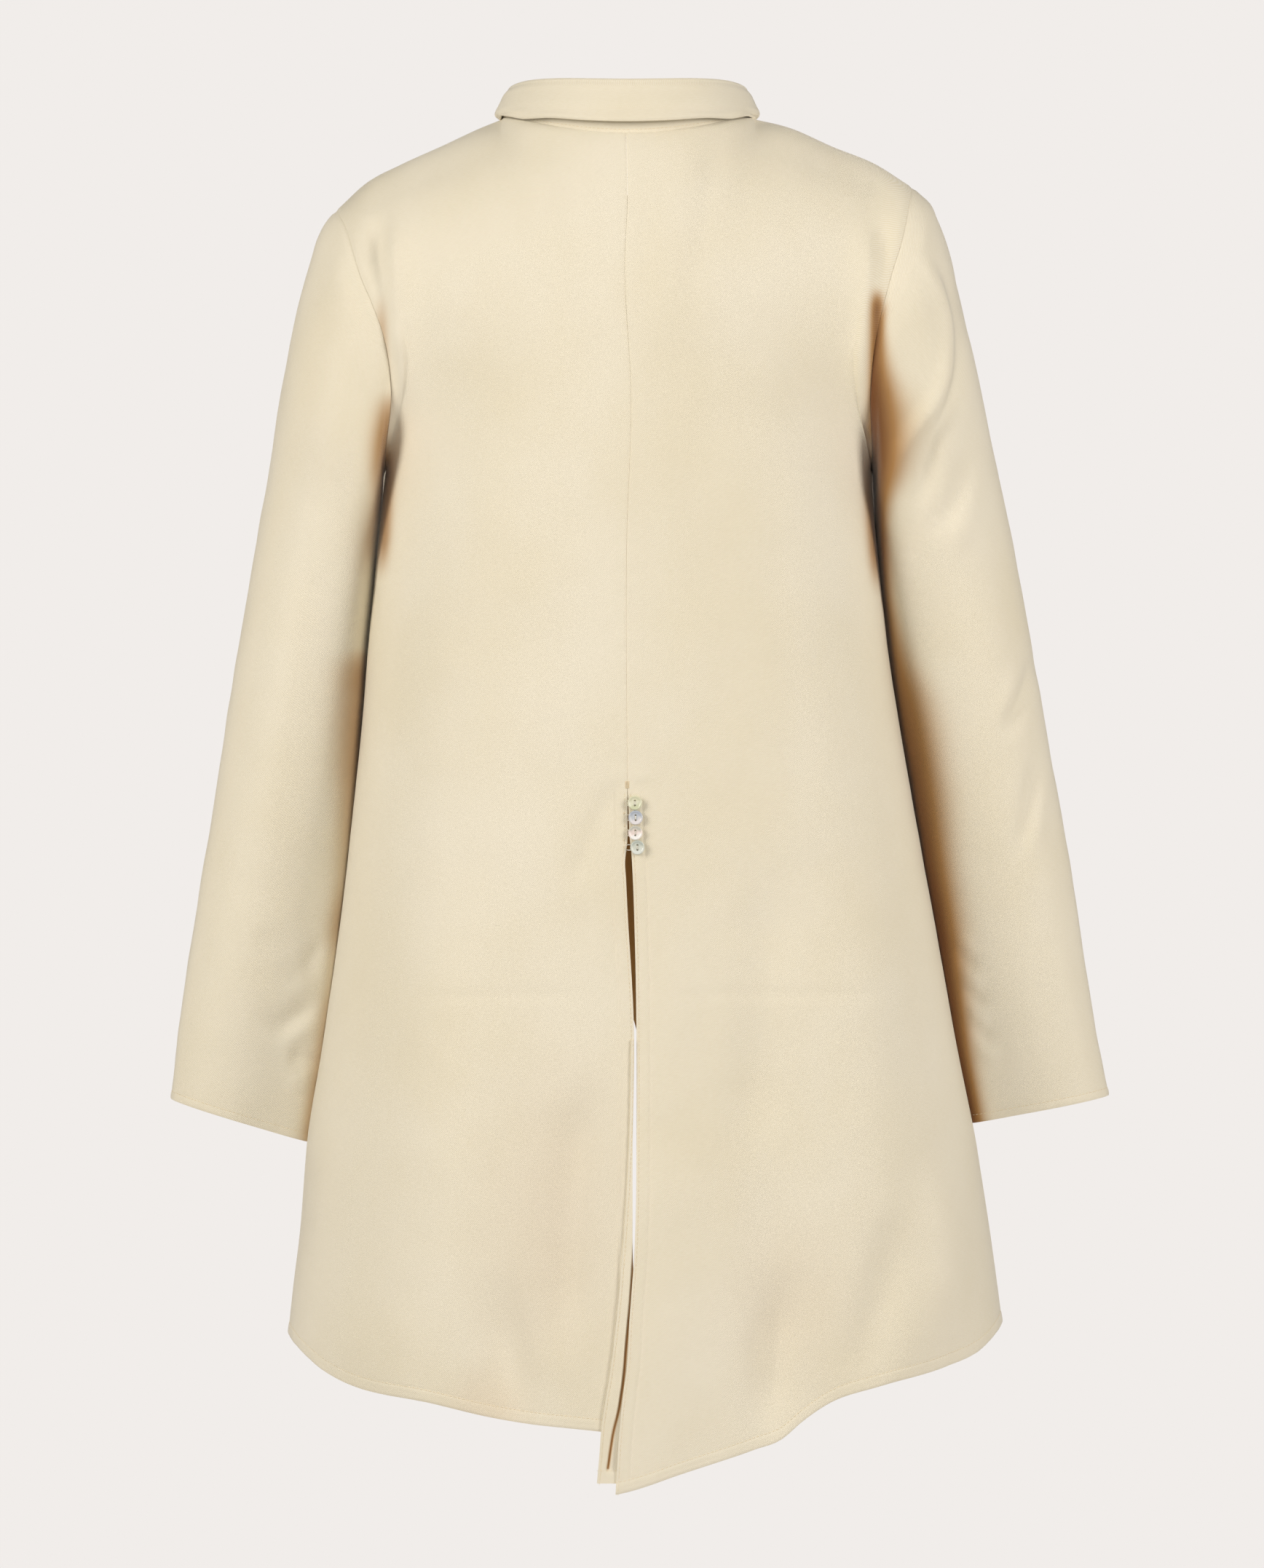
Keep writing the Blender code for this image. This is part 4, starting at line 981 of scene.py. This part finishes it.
collar = {
    "stand": {back: 33.5, front: 26.0, "side": 17.5, "lean": 6.0},
    "fall": {back: 28.0, front: 60.0, "side": 29.0},
    "gap": {back: 5.0, front: 6.0, "side": 5.0},
    "rest": 1.3, "start": 13.0, "crown": 1.0, "spread": 0.2,
    "thick": 1.3, "standThick": 1.1,
    "under": (0.07, 1.1),    # allowance inside the neck seam: share of the stand's height, inwards
    "away": (1.25, 8.0),     # how round the neck the stand faces: stretched and moved to the front
    "first": 3.0,            # the fall starts this far down and out from the stand's top
    # the roll over the stand's top: outwards, up
    "roll": ((-1.4, 1.1), (-0.4, 1.9), (1.1, 1.5), (2.1, -0.2)),
    "shares": (0.0, 0.14, 0.28, 0.42, 0.56, 0.7, 0.85, 1.0),
    "finer": (10, 6),        # grid lines between the shaping points: along, down
}


def neckStations():
    # Along the neckline from the right front's lap round the back to the left front's
    stations = []
    plain = np.linspace(0, body["neckShare"], 6)
    lapped = {side: centreColumn(side, front, np.zeros(1))[0] for side in (left, right)}
    for side, face, forward in ((right, front, True), (right, back, False),
                                (left, back, True), (left, front, False)):
        columns = plain if face == back else plain + lapped[side] * (1 - plain / body["neckShare"])
        run = [(side, face, value) for value in (columns if forward else columns[::-1])]
        stations += run if not stations else run[1:]
    return stations


def neckFrame(side, face, column):
    base = bodyPoint(side, face, column, 0.0)
    stretch, forward = collar["away"]
    away = unit(np.array([base[0], base[1] * stretch + forward, 0.0]))
    middle = np.cos(np.clip(column / body["neckShare"], -1, 1) * math.pi / 2)
    stand, fall, gap = collar["stand"], collar["fall"], collar["gap"]
    height = stand["side"] + (stand[face] - stand["side"]) * middle ** 1.5
    length = fall["side"] + (fall[face] - fall["side"]) * middle ** 2.2
    reach = gap["side"] + (gap[face] - gap["side"]) * middle
    top = base + np.array([0, 0, height]) - away * stand["lean"]
    return base, top, away, length, reach


def makeStand():
    outer, directions = [], []
    shares = (0.0, 0.25, 0.5, 0.75, 1.0)
    below, inwards = collar["under"]
    for side, face, column in neckStations():
        base, top, away, _, _ = neckFrame(side, face, column)
        if (side, face) == (left, front):
            step = body["lapStep"] * float(lapShare(side * base[0]))
            base, top = base - away * step, top - away * step
        under = base - (top - base) * below - away * inwards
        outer.append([under] + [base + (top - base) * share for share in shares])
        directions.append([away] * (len(shares) + 1))
    outer, normals = (finer(finer(np.array(grid).transpose(1, 0, 2), 1, collar["finer"][0]), 0, 4)
                      for grid in (outer, directions))
    normals = unit(normals)
    down, across = lengths(outer, 0), lengths(outer, 1)
    down = down - down[4]                    # from the seam
    height = softNoise(across, down, 9, 61) * dent("standRipple", down, 3)
    height = height - dent("standSeam", down) - dent("standStitch", down, 2.2)
    inner = outer - normals * collar["standThick"]
    outer = outer + normals * height[..., None]
    mesh = wallMesh("collarStand", outer, inner, -1)
    surfaces["stand"] = {"points": outer, "normals": normals}
    addPiece("collar_stand_cloth", mesh, clothMaterial, ["collar_stand"])


def downThePanel(side, face, column, distance):
    rows = np.linspace(0, 1, 41)
    line = bodyPoint(side, face, column, rows)
    return float(np.interp(distance, wayAlong(line), rows))


def fallPoint(side, face, column, way, length):
    base, top, away, _, gap = neckFrame(side, face, column)
    stand = np.linalg.norm(base - top)
    row = 0.0
    if way < stand:
        place = top + (base - top) * way / stand
        reach = collar["first"] + (gap - collar["first"]) * math.sin(way / stand * math.pi / 2)
    else:
        row = downThePanel(side, face, column, way - stand)
        place = bodyPoint(side, face, column, row)
        lying = float(ease((way - stand) / max(length - stand, 1.0)))
        reach = gap + (collar["rest"] - gap) * lying
    outward = unit(bodyNormal(side, face, column, max(row, 0.03)) + np.array([0, 0, 0.1]))
    blend = 0.5 * float(ease((way - stand + 9) / 9)) + 0.4 * float(ease((way - stand) / 10))
    return place + unit(away * (1 - blend) + outward * blend) * reach


def restOn(grid, trees, clearance):
    # Points pushed out to a clearance from the panels under them
    grid = grid.copy()
    for place in np.ndindex(grid.shape[:2]):
        for tree, outward in trees:
            point = Vector(grid[place])
            near, normal, _, _ = tree.find_nearest(point)
            normal = normal if normal.dot(Vector(outward)) > 0 else -normal
            high = (point - near).dot(normal)
            if high < clearance and (point - near).length < 2 * clearance:
                grid[place] = point + normal * (clearance - high)
    return grid


def panelTree(side, face):
    # Search tree over the upper part of a panel
    points = surfaces[face, side]["points"][:60:3, ::3]
    rows, columns = points.shape[:2]
    starts = [r * columns + c for r in range(rows - 1) for c in range(columns - 1)]
    faces = [(a, a + columns, a + columns + 1, a + 1) for a in starts]
    return BVHTree.FromPolygons(points.reshape(-1, 3).tolist(), faces)


def makeFall():
    up = np.array([0, 0, 1.0])
    under = []
    start = collar["start"] / body["neckHalf"] * body["neckShare"] * 2 / math.pi
    for side, face, column in neckStations():
        if face == front:
            column = max(start, start + column * (1 - start / body["neckShare"]))
        base, top, away, length, _ = neckFrame(side, face, column)
        middle = math.cos(np.clip(column / body["neckShare"], -1, 1) * math.pi / 2)
        spread = collar["spread"] * middle ** 2 if face == front else 0.0
        crown = collar["crown"] * middle if face == front else 0.0
        line = [top + away * (out + crown / 3) + up * (high + crown) for out, high in collar["roll"]]
        for share in collar["shares"]:
            way = collar["first"] + (length - collar["first"]) * share
            shifted = min(column + spread * way / length, body["neckShare"] * 1.6)
            line.append(fallPoint(side, face, shifted, way, length))
        under.append(line)
    under = np.array(under).transpose(1, 0, 2)
    keep = [0]
    for i in range(1, under.shape[1]):
        if np.linalg.norm(under[0, i] - under[0, keep[-1]]) > 1.0:
            keep.append(i)
    under = under[:, keep]
    trees = [(panelTree(side, face), (0, face, 0.8))
             for side in (left, right) for face in (back, front)]
    under[6:] = restOn(restOn(under[6:], trees, collar["rest"]), trees, collar["rest"])
    under = finer(finer(under, 1, collar["finer"][0]), 0, collar["finer"][1])
    normals = unit(np.cross(np.gradient(under, axis=1), np.gradient(under, axis=0)))
    down, across = lengths(under, 0), lengths(under, 1)
    toEdge = down[-1:] - down
    height = 0.25 * softNoise(across, down, 30, 71) * ease(down / 12)
    height += 0.25 * ease((5.5 - toEdge) / 4) - dent("fallEdge", toEdge)
    outer = under + normals * (collar["thick"] + height)[..., None]
    mesh = wallMesh("collarFall", outer, under, -1)
    addPiece("collar_fall_cloth", mesh, clothMaterial, ["collar_fall"])


makeStand()
makeFall()
print("collar made")

# ---- turned-out slit edge

turned = {
    # down, its finished edge, the fold it hangs from (towards the left of the middle)
    "lines": ((626, -2.6, -3.9), (690, -1.2, -3.4), (735, 1.0, -3.4), (767, 3.4, -3.5),
              (800, 6.2, -5), (845, 11.5, -8.5), (880, 17.0, -11), (905, 19.0, -12.5),
              (918, 20.2, -13)),
    "step": 0.3,
    "grid": (200, 96),
    # how wide the facing on it is: down, width
    "facing": ((626, 6.5), (768, 6.8), (798, 7.3), (827, 7.6), (856, 8.9), (870, 9.0),
               (885, 7.2), (918, 4.8)),
    "stitch": 1.7, "hem": 8.3,
    # one layer, and what the facing and the hem add; the step between them
    "thick": 1.0, "facingRise": 0.8, "hemRise": 0.9, "stepWidth": 0.5,
    "shade": (0.85, 0.9, 0.75),      # painted shadow beside the facing's free edge: strength, how far off, width
}


def backPoint(x, down):
    half = along(body["side"][left], 1, down)
    angle = np.arcsin(np.clip(x / half, -1, 1))
    y = along(body["depth"], 1, down) * oval(angle)
    return np.stack([x + np.zeros(y.shape), y, -down + np.zeros(y.shape)], axis=-1)


def makeTurnedEdge():
    rows, columns = turned["grid"]
    down = np.linspace(turned["lines"][0][0], turned["lines"][-1][0], rows + 1)
    finished, fold = along(turned["lines"], 1, down), along(turned["lines"], 2, down)
    share = np.linspace(0, 1, columns + 1)
    x = finished[:, None] + (fold - finished)[:, None] * share
    down = down[:, None] + np.zeros(x.shape)
    under = backPoint(x, down)
    normals = np.zeros(under.shape)
    normals[..., 1] = 1.0
    inner = under + normals * turned["step"]
    fromEdge = lengths(under, 1)
    toHem = lengths(under, 0)
    toHem = toHem[-1:] - toHem
    facing = along(turned["facing"], 1, down)
    height = turned["thick"] + np.maximum(
        turned["facingRise"] * ease((facing - fromEdge) / turned["stepWidth"]),
        turned["hemRise"] * ease((turned["hem"] - toHem) / turned["stepWidth"]))
    strength, off, width = turned["shade"]
    # Painted shadow line beside the facing's free edge, stopping above the hem
    paintedShade = strength * bump(fromEdge, facing + off, width) * ease((toHem - turned["hem"]) / 2)
    height -= dent("turnedStitch", fromEdge, turned["stitch"]) + dent("turnedEdge", fromEdge)
    height += 0.12 * softNoise(down, fromEdge, 7, 81)
    outer = inner + normals * height[..., None]
    mesh = wallMesh("turnedEdge", outer, inner, -1, tones=(paintedShade, 0 * paintedShade))
    surfaces["turned"] = {"points": outer, "normals": normals, "across": fromEdge, "toHem": toHem}
    addPiece("back_turned_edge_cloth", mesh, clothMaterial, ["back_turned_edge"])


makeTurnedEdge()
print("turned edge made")

# ---- stitches

stitches = {
    # stitch and step in metres, before changes for a row
    "sizes": {"Pitch": 2.9 * mm, "Length": 2.3 * mm, "Radius": 0.17 * mm, "Seed": 5},
    "uneven": (0.86, 1.08),      # shortest and longest
    "clear": 0.05,               # how far they lie off the cloth
}


def stitchTree():
    # One stitch laid along a line again and again
    tree = bpy.data.node_groups.new("stitchRow", "GeometryNodeTree")
    face = tree.interface
    face.new_socket("Line", in_out="INPUT", socket_type="NodeSocketGeometry")
    sockets = {}
    for name, value in stitches["sizes"].items():
        kind = "NodeSocketInt" if name == "Seed" else "NodeSocketFloat"
        made = face.new_socket(name, in_out="INPUT", socket_type=kind)
        made.default_value = value
        sockets[name] = made.identifier
    finish = face.new_socket("Thread", in_out="INPUT", socket_type="NodeSocketMaterial")
    sockets["Thread"] = finish.identifier
    face.new_socket("Stitches", in_out="OUTPUT", socket_type="NodeSocketGeometry")
    start = addNode(tree, "NodeGroupInput").outputs
    curves = addNode(tree, "GeometryNodeMeshToCurve", [("Mesh", start["Line"])])
    spread = addNode(tree, "GeometryNodeResampleCurve",
                     [("Curve", curves.outputs["Curve"]), ("Length", start["Pitch"])], mode="LENGTH")
    tangent = addNode(tree, "GeometryNodeInputTangent")
    turn = addNode(tree, "FunctionNodeAlignRotationToVector", [("Vector", tangent.outputs[0])], axis="Z")
    ball = addNode(tree, "GeometryNodeMeshUVSphere", values={"Segments": 6, "Rings": 5, "Radius": 1.0})
    shortest, longest = stitches["uneven"]
    vary = addNode(tree, "FunctionNodeRandomValue", [("Seed", start["Seed"])], {2: shortest, 3: longest},
                   data_type="FLOAT")
    half = compute(tree, "MULTIPLY", start["Length"], 0.5)
    size = addNode(tree, "ShaderNodeCombineXYZ",
                   [(0, start["Radius"]), (1, start["Radius"]),
                    (2, compute(tree, "MULTIPLY", half, vary.outputs[1]))])
    place = addNode(tree, "GeometryNodeInstanceOnPoints",
                    [("Points", spread.outputs["Curve"]), ("Instance", ball.outputs["Mesh"]),
                     ("Rotation", turn.outputs[0]), ("Scale", size.outputs[0])])
    real = addNode(tree, "GeometryNodeRealizeInstances", [(0, place.outputs[0])])
    painted = addNode(tree, "GeometryNodeSetMaterial",
                      [("Geometry", real.outputs[0]), ("Material", start["Thread"])])
    addNode(tree, "NodeGroupOutput", [(0, painted.outputs[0])])
    return tree, sockets


stitchGroup, stitchSockets = stitchTree()


def bakeNodes(carrier, name):
    # The node result as a plain mesh
    graph = bpy.context.evaluated_depsgraph_get()
    mesh = bpy.data.meshes.new_from_object(carrier.evaluated_get(graph))
    mesh.name = name
    bpy.data.objects.remove(carrier)
    return mesh


def stitchRows(name, lines, **changes):
    # lines: one array of points in mm for each row of stitches; changes: other sizes
    points, edges = [], []
    for line in lines:
        first = len(points)
        points += (np.asarray(line) * mm).tolist()
        edges += [(i, i + 1) for i in range(first, len(points) - 1)]
    mesh = bpy.data.meshes.new(name + "Line")
    mesh.from_pydata(points, edges, [])
    carrier = newObject(name + "Line", mesh)
    nodes = carrier.modifiers.new("stitches", "NODES")
    nodes.node_group = stitchGroup
    for key, value in {**stitches["sizes"], "Thread": threadFinish, **changes}.items():
        nodes[stitchSockets[key]] = value
    bpy.context.view_layer.update()
    done = bakeNodes(carrier, name)
    done.shade_smooth()
    addPiece(name, done, None)


def atDistance(surface, distance, away, axis):
    # Line on a surface at a distance from an edge: across rows (axis 0) or columns (axis 1)
    grid = np.moveaxis(surface["points"] + surface["normals"] * stitches["clear"], axis, 0)
    gaps = np.moveaxis(away, axis, 0)
    found = []
    for k in range(grid.shape[1]):
        order = np.argsort(gaps[:, k])
        found.append([np.interp(distance, gaps[order, k], grid[order, k, i]) for i in range(3)])
    return np.array(found)


def makeStitches():
    for side, word in ((left, "left"), (right, "right")):
        for face, faceWord in ((back, "back"), (front, "front")):
            one = surfaces[face, side]
            start = body["tackDown"] + 4 if face == back else 60
            slit = one["points"][:, 0, 2] < -start
            beside = (cloth["facingStitch"],) if face == back else cloth["frontStitches"]
            lines = [atDistance(one, cloth["hemStitch"], one["toHem"], 0)]
            lines += [atDistance(one, distance, one["across"], 1)[slit] for distance in beside]
            seed = stitches["sizes"]["Seed"] + side + 3 * face
            stitchRows(f"{faceWord}_{word}_stitches", lines, Seed=seed)
        tube = surfaces["sleeve", side]
        line = atDistance(tube, sleeve["hemStitch"], tube["toCuff"], 0)
        stitchRows(f"sleeve_{word}_stitches", [np.concatenate([line, line[:1]])])
    fold = surfaces["turned"]
    stitchRows("turned_edge_stitches", [atDistance(fold, turned["stitch"], fold["across"], 1),
                                        atDistance(fold, turned["hem"], fold["toHem"], 0)])
    stand = surfaces["stand"]
    stitchRows("collar_stitches", [stand["points"][5] + stand["normals"][5] * stitches["clear"]])


makeStitches()
print("stitches made")

# ---- buttons, loops and bar tack

fastening = {
    # outline of a button from the middle of its back round to the middle of its face: out, high
    "outline": ((0, 0.05), (3.4, 0.05), (4.1, 0.12), (4.55, 0.35), (4.76, 0.8), (4.8, 1.1),
                (4.76, 1.45), (4.62, 1.75), (4.4, 1.95), (4.15, 2.0), (3.85, 1.93), (3.5, 1.72),
                (3.1, 1.55), (2.6, 1.48), (1.6, 1.5), (0, 1.52)),
    "segments": 72, "sharpAngle": 42,
    "hole": 0.68, "holeSides": 24, "apart": 3.1,
    "backHeight": 1.4, "frontHeight": 0.48,
    "back": ((-4.9, 468.6), (-5.4, 478.4), (-5.2, 488.5), (-6.6, 498.2)),     # x, down
    "frontDown": (96, 182, 268, 354, 440, 526),
    # shell colours from the top of a button to its bottom
    "shell": {
        "back_button_1": ("E3E4C6", "F0F1DC", "D9DEBE"),
        "back_button_2": ("BCC6D6", "D3D9E2", "ECE9EE"),
        "back_button_3": ("D3D3CA", "FAEAE6", "FFFFFF"),
        "back_button_4": ("C8D1CA", "DFE4DA", "E6ECE8"),
        "front": ("D9DCC9", "ECE6E2", "D3DADF"),
    },
    "surface": {"Roughness": 0.28, "Coat Weight": 0.5, "Coat Roughness": 0.12},
    "loop": 0.27, "loopHalf": 1.8,
    # a loop's start on the left panel: x, rise, height; its end mirrors it
    "loopStart": ((1.8, 1.3, -0.95), (0.6, 1.6, -0.7), (-0.5, 1.8, -0.1), (-1.2, 1.8, 0.4)),
    "strand": 0.17, "strandOffsets": (-0.2, 0.15), "shank": 0.9,
    "backShank": (-0.6, 0.3, 1.0, 1.7), "frontShank": (-1.5, -0.8, 0.0, 0.3),
    "buttonhole": (0.9, 6.2),                # half width and half height
    "buttonholeStitch": {"Pitch": 0.55 * mm, "Length": 1.0 * mm, "Radius": 0.3 * mm},
    "tack": {"down": (454.4, 458.6), "half": 1.5, "strands": 9, "radius": 0.24},
    "loopStitches": (475.6, 483.9, 493.6, 498.0),
}


def shellMaterial(name, colours, middle):
    # Mother-of-pearl: cloudy bands of three tints under a gloss
    made, tree, shader = newMaterial(name)
    place = addNode(tree, "ShaderNodeTexCoord")
    moved = addNode(tree, "ShaderNodeVectorMath", [(0, place.outputs["Object"])], {1: middle},
                    operation="SUBTRACT").outputs[0]
    clouds = compute(tree, "MULTIPLY", addNoise(tree, moved, 330, 2.5), 1.1)
    parts = addNode(tree, "ShaderNodeSeparateXYZ", [(0, moved)])
    height = compute(tree, "MULTIPLY", parts.outputs[2], -95.0)
    top, centre, bottom = colours
    colour = addRamp(tree, compute(tree, "ADD", height, clouds),
                     ((0.25, top), (0.85, bottom), (0.55, centre)))
    tree.links.new(colour, shader.inputs["Base Color"])
    setInputs(shader, fastening["surface"])
    return made


def buttonMesh():
    # A turned disc with two drilled holes, its back at height 0
    work = bmesh.new()
    points = [work.verts.new((out * mm, 0, high * mm)) for out, high in fastening["outline"]]
    edges = [work.edges.new(pair) for pair in zip(points, points[1:])]
    bmesh.ops.spin(work, geom=points + edges, axis=(0, 0, 1), cent=(0, 0, 0), angle=2 * math.pi,
                   steps=fastening["segments"], use_merge=True)
    bmesh.ops.remove_doubles(work, verts=work.verts, dist=0.00001)
    bmesh.ops.recalc_face_normals(work, faces=work.faces)
    disc = bpy.data.meshes.new("buttonDisc")
    work.to_mesh(disc)
    work.free()
    work = bmesh.new()
    for way in (-1, 1):
        place = Matrix.Translation((0, way * fastening["apart"] / 2 * mm, mm))
        hole = fastening["hole"] * mm
        bmesh.ops.create_cone(work, cap_ends=True, segments=fastening["holeSides"], radius1=hole,
                              radius2=hole, depth=6 * mm, matrix=place)
    drillMesh = bpy.data.meshes.new("buttonDrill")
    work.to_mesh(drillMesh)
    work.free()
    drill = newObject("buttonDrill", drillMesh)
    blank = newObject("buttonBlank", disc)
    cut = blank.modifiers.new("holes", "BOOLEAN")
    cut.object = drill
    bpy.context.view_layer.update()
    mesh = bakeNodes(blank, "button")
    bpy.data.objects.remove(drill)
    return mesh


def tubes(name, lines, radius, sides=8):
    # Round threads along lines of points in mm, closed at both ends
    points, faces = [], []
    for line in lines:
        line = np.asarray(line, float)
        way = unit(np.gradient(line, axis=0))
        across = unit(np.cross(way, np.array([0.31, 0.2, 0.93])))
        up = np.cross(way, across)
        first = len(points)
        for k in range(len(line)):
            thin = 0.6 if k in (0, len(line) - 1) else 1.0
            for step in range(sides):
                turn = 2 * math.pi * step / sides
                out = across[k] * math.cos(turn) + up[k] * math.sin(turn)
                points.append(line[k] + thin * radius * out)
        last = len(points) - sides
        for start in range(first, last, sides):
            for step in range(sides):
                a, b = start + step, start + (step + 1) % sides
                faces.append((a, b, b + sides, a + sides))
        faces.append(tuple(range(first, first + sides))[::-1])
        faces.append(tuple(range(last, last + sides)))
    mesh = bpy.data.meshes.new(name)
    mesh.from_pydata([tuple(point * mm) for point in points], [], faces)
    mesh.shade_smooth()
    return mesh


def onPanel(side, face, x, down, off):
    # The point of a panel's outer surface at a distance from the middle and below the origin
    one = surfaces[face, side]
    places = -one["points"][:, 4, 2]
    place = float(np.interp(down, places, np.arange(len(places))))
    i = min(int(place), len(places) - 2)
    t = place - i
    line = one["points"][i] * (1 - t) + one["points"][i + 1] * t
    order = np.argsort(line[:, 0])
    y, z = (np.interp(x, line[order, 0], line[order, i]) for i in (1, 2))
    return np.array([x, y + face * off, z])


def setButton(mesh, name, place, normal, colours):
    # A button on its place, and the strands of its thread
    normal = Vector(normal).normalized()
    across = Vector((0, 0, 1)).cross(normal).normalized()
    turn = Matrix((across, normal.cross(across), normal)).transposed().to_4x4()
    matrix = Matrix.Translation(Vector(place) * mm) @ turn
    own = mesh.copy()
    own.transform(matrix)
    own.shade_smooth()
    own.set_sharp_from_angle(angle=math.radians(fastening["sharpAngle"]))
    finish = shellMaterial(name + "Pearl", colours, Vector(place) * mm)
    addPiece(name + "_shell", own, finish, [name])
    strands = []
    end = fastening["apart"] / 2 - 0.38
    for offset in fastening["strandOffsets"]:
        rising = [(offset, -end, -0.9), (offset, -end, 1.2), (offset * 1.1, 0.2 - end, 1.62)]
        route = rising + [(offset * 1.5, 0, 1.74)] + [(x, -y, z) for x, y, z in rising[::-1]]
        strands.append([np.array(matrix @ (Vector(spot) * mm)) / mm for spot in finerLine(route, 3)])
    return strands


def makeLoop(number, x, down):
    start, reach = fastening["loopStart"], fastening["loopHalf"]
    turns = [math.pi / 2 + step * math.pi / 8 for step in range(9)]
    route = list(start)
    route += [(x + 0.3 + reach * math.cos(turn), reach * math.sin(turn), 0.75) for turn in turns]
    route += [(spotX, -up, high) for spotX, up, high in start[::-1]]
    line = [backPointOf(spotX, down - up) + np.array([0, high, 0]) for spotX, up, high in route]
    loop = tubes(f"backLoop{number}", [finerLine(line, 4)], fastening["loop"], 10)
    addPiece(f"back_loop_{number}_thread", loop, loopFinish, [f"back_loop_{number}"])


def frontButtonPlaces():
    # Places and normals: the first on the stand, the others down the right front panel
    base, top, away, _, _ = neckFrame(right, front, 0.0)
    slope = unit(np.cross(top - base, np.array([1.0, 0, 0])))
    slope = slope if np.dot(slope, away) > 0 else -slope
    places = [(base + (top - base) * 0.5 + slope * 0.42, slope)]
    rows = np.linspace(0, 4, 601)
    middle = bodyPoint(right, front, 0.0, rows)
    for down in fastening["frontDown"]:
        row = float(np.interp(down, -middle[:, 2], rows))
        normal = unit(bodyNormal(right, front, 0.0, row) * np.array([0, 1, 1]))
        places.append((bodyPoint(right, front, 0.0, row) + normal * fastening["frontHeight"], normal))
    return places


def makeFastenings():
    mesh = buttonMesh()
    strands, shanks = [], []
    outwards = np.array([0, 1, 0])
    for number, (x, down) in enumerate(fastening["back"], start=1):
        name = f"back_button_{number}"
        base = backPointOf(x, down)
        place = base + outwards * fastening["backHeight"]
        strands += setButton(mesh, name, place, outwards, fastening["shell"][name])
        shanks.append([base + outwards * high for high in fastening["backShank"]])
        makeLoop(number, x, down)
    places = frontButtonPlaces()
    for number, (place, normal) in enumerate(places, start=1):
        strands += setButton(mesh, f"front_button_{number}", place, normal, fastening["shell"]["front"])
        shanks.append([place + normal * high for high in fastening["frontShank"]])
    addPiece("button_threads", tubes("buttonThreads", strands, fastening["strand"]), loopFinish)
    addPiece("button_shanks", tubes("buttonShanks", shanks, fastening["shank"], 12), loopFinish)
    makeButtonholes(places[1:])
    makeTack()


def backPointOf(x, down):
    return backPoint(np.array(float(x)), np.array(float(down)))


def makeButtonholes(places):
    # Close stitches round the slot under each front button
    halfWide, halfHigh = fastening["buttonhole"]
    lines = []
    for place, _ in places:
        ring = []
        for turn in np.linspace(0, 2 * math.pi, 33):
            sine = math.sin(turn)
            up = halfHigh * np.sign(sine) * abs(sine) ** 0.5
            ring.append(onPanel(right, front, halfWide * math.cos(turn), -(place[2] + up), 0.1))
        lines.append(ring)
    stitchRows("buttonholes", lines, **fastening["buttonholeStitch"])


def makeTack():
    # Bar tack over the end of the centre seam, and the stitches that hold the loops
    tack = fastening["tack"]
    chance = np.random.default_rng(stitches["sizes"]["Seed"])
    lines = []
    for down in np.linspace(*tack["down"], tack["strands"]):
        ends = tack["half"] * chance.uniform(0.85, 1.1, 2)
        line = []
        for x in (-ends[0], -ends[0] * 0.6, 0.0, ends[1] * 0.6, ends[1]):
            side = left if x >= 0 else right
            off = 0.3 if abs(x) < 0.8 * tack["half"] else -0.2
            line.append(onPanel(side, back, x + 0.2, down + chance.uniform(-0.1, 0.1), off))
        lines.append(finerLine(line, 2))
    for down in fastening["loopStitches"]:
        x = 2.3 + chance.uniform(-0.4, 0.4)
        spots = ((0, -0.8, -0.15), (0.1, -0.3, 0.12), (0, 0.3, 0.12), (-0.1, 0.8, -0.15))
        line = [onPanel(left, back, x + aside, down + below, off) for aside, below, off in spots]
        lines.append(finerLine(line, 2))
    addPiece("bar_tack", tubes("barTack", lines, tack["radius"]), threadFinish)


loopFinish = threadMaterial("loopThread", "E9E4D6", "FFFDF4")
makeFastenings()
print("buttons, loops and bar tack made")
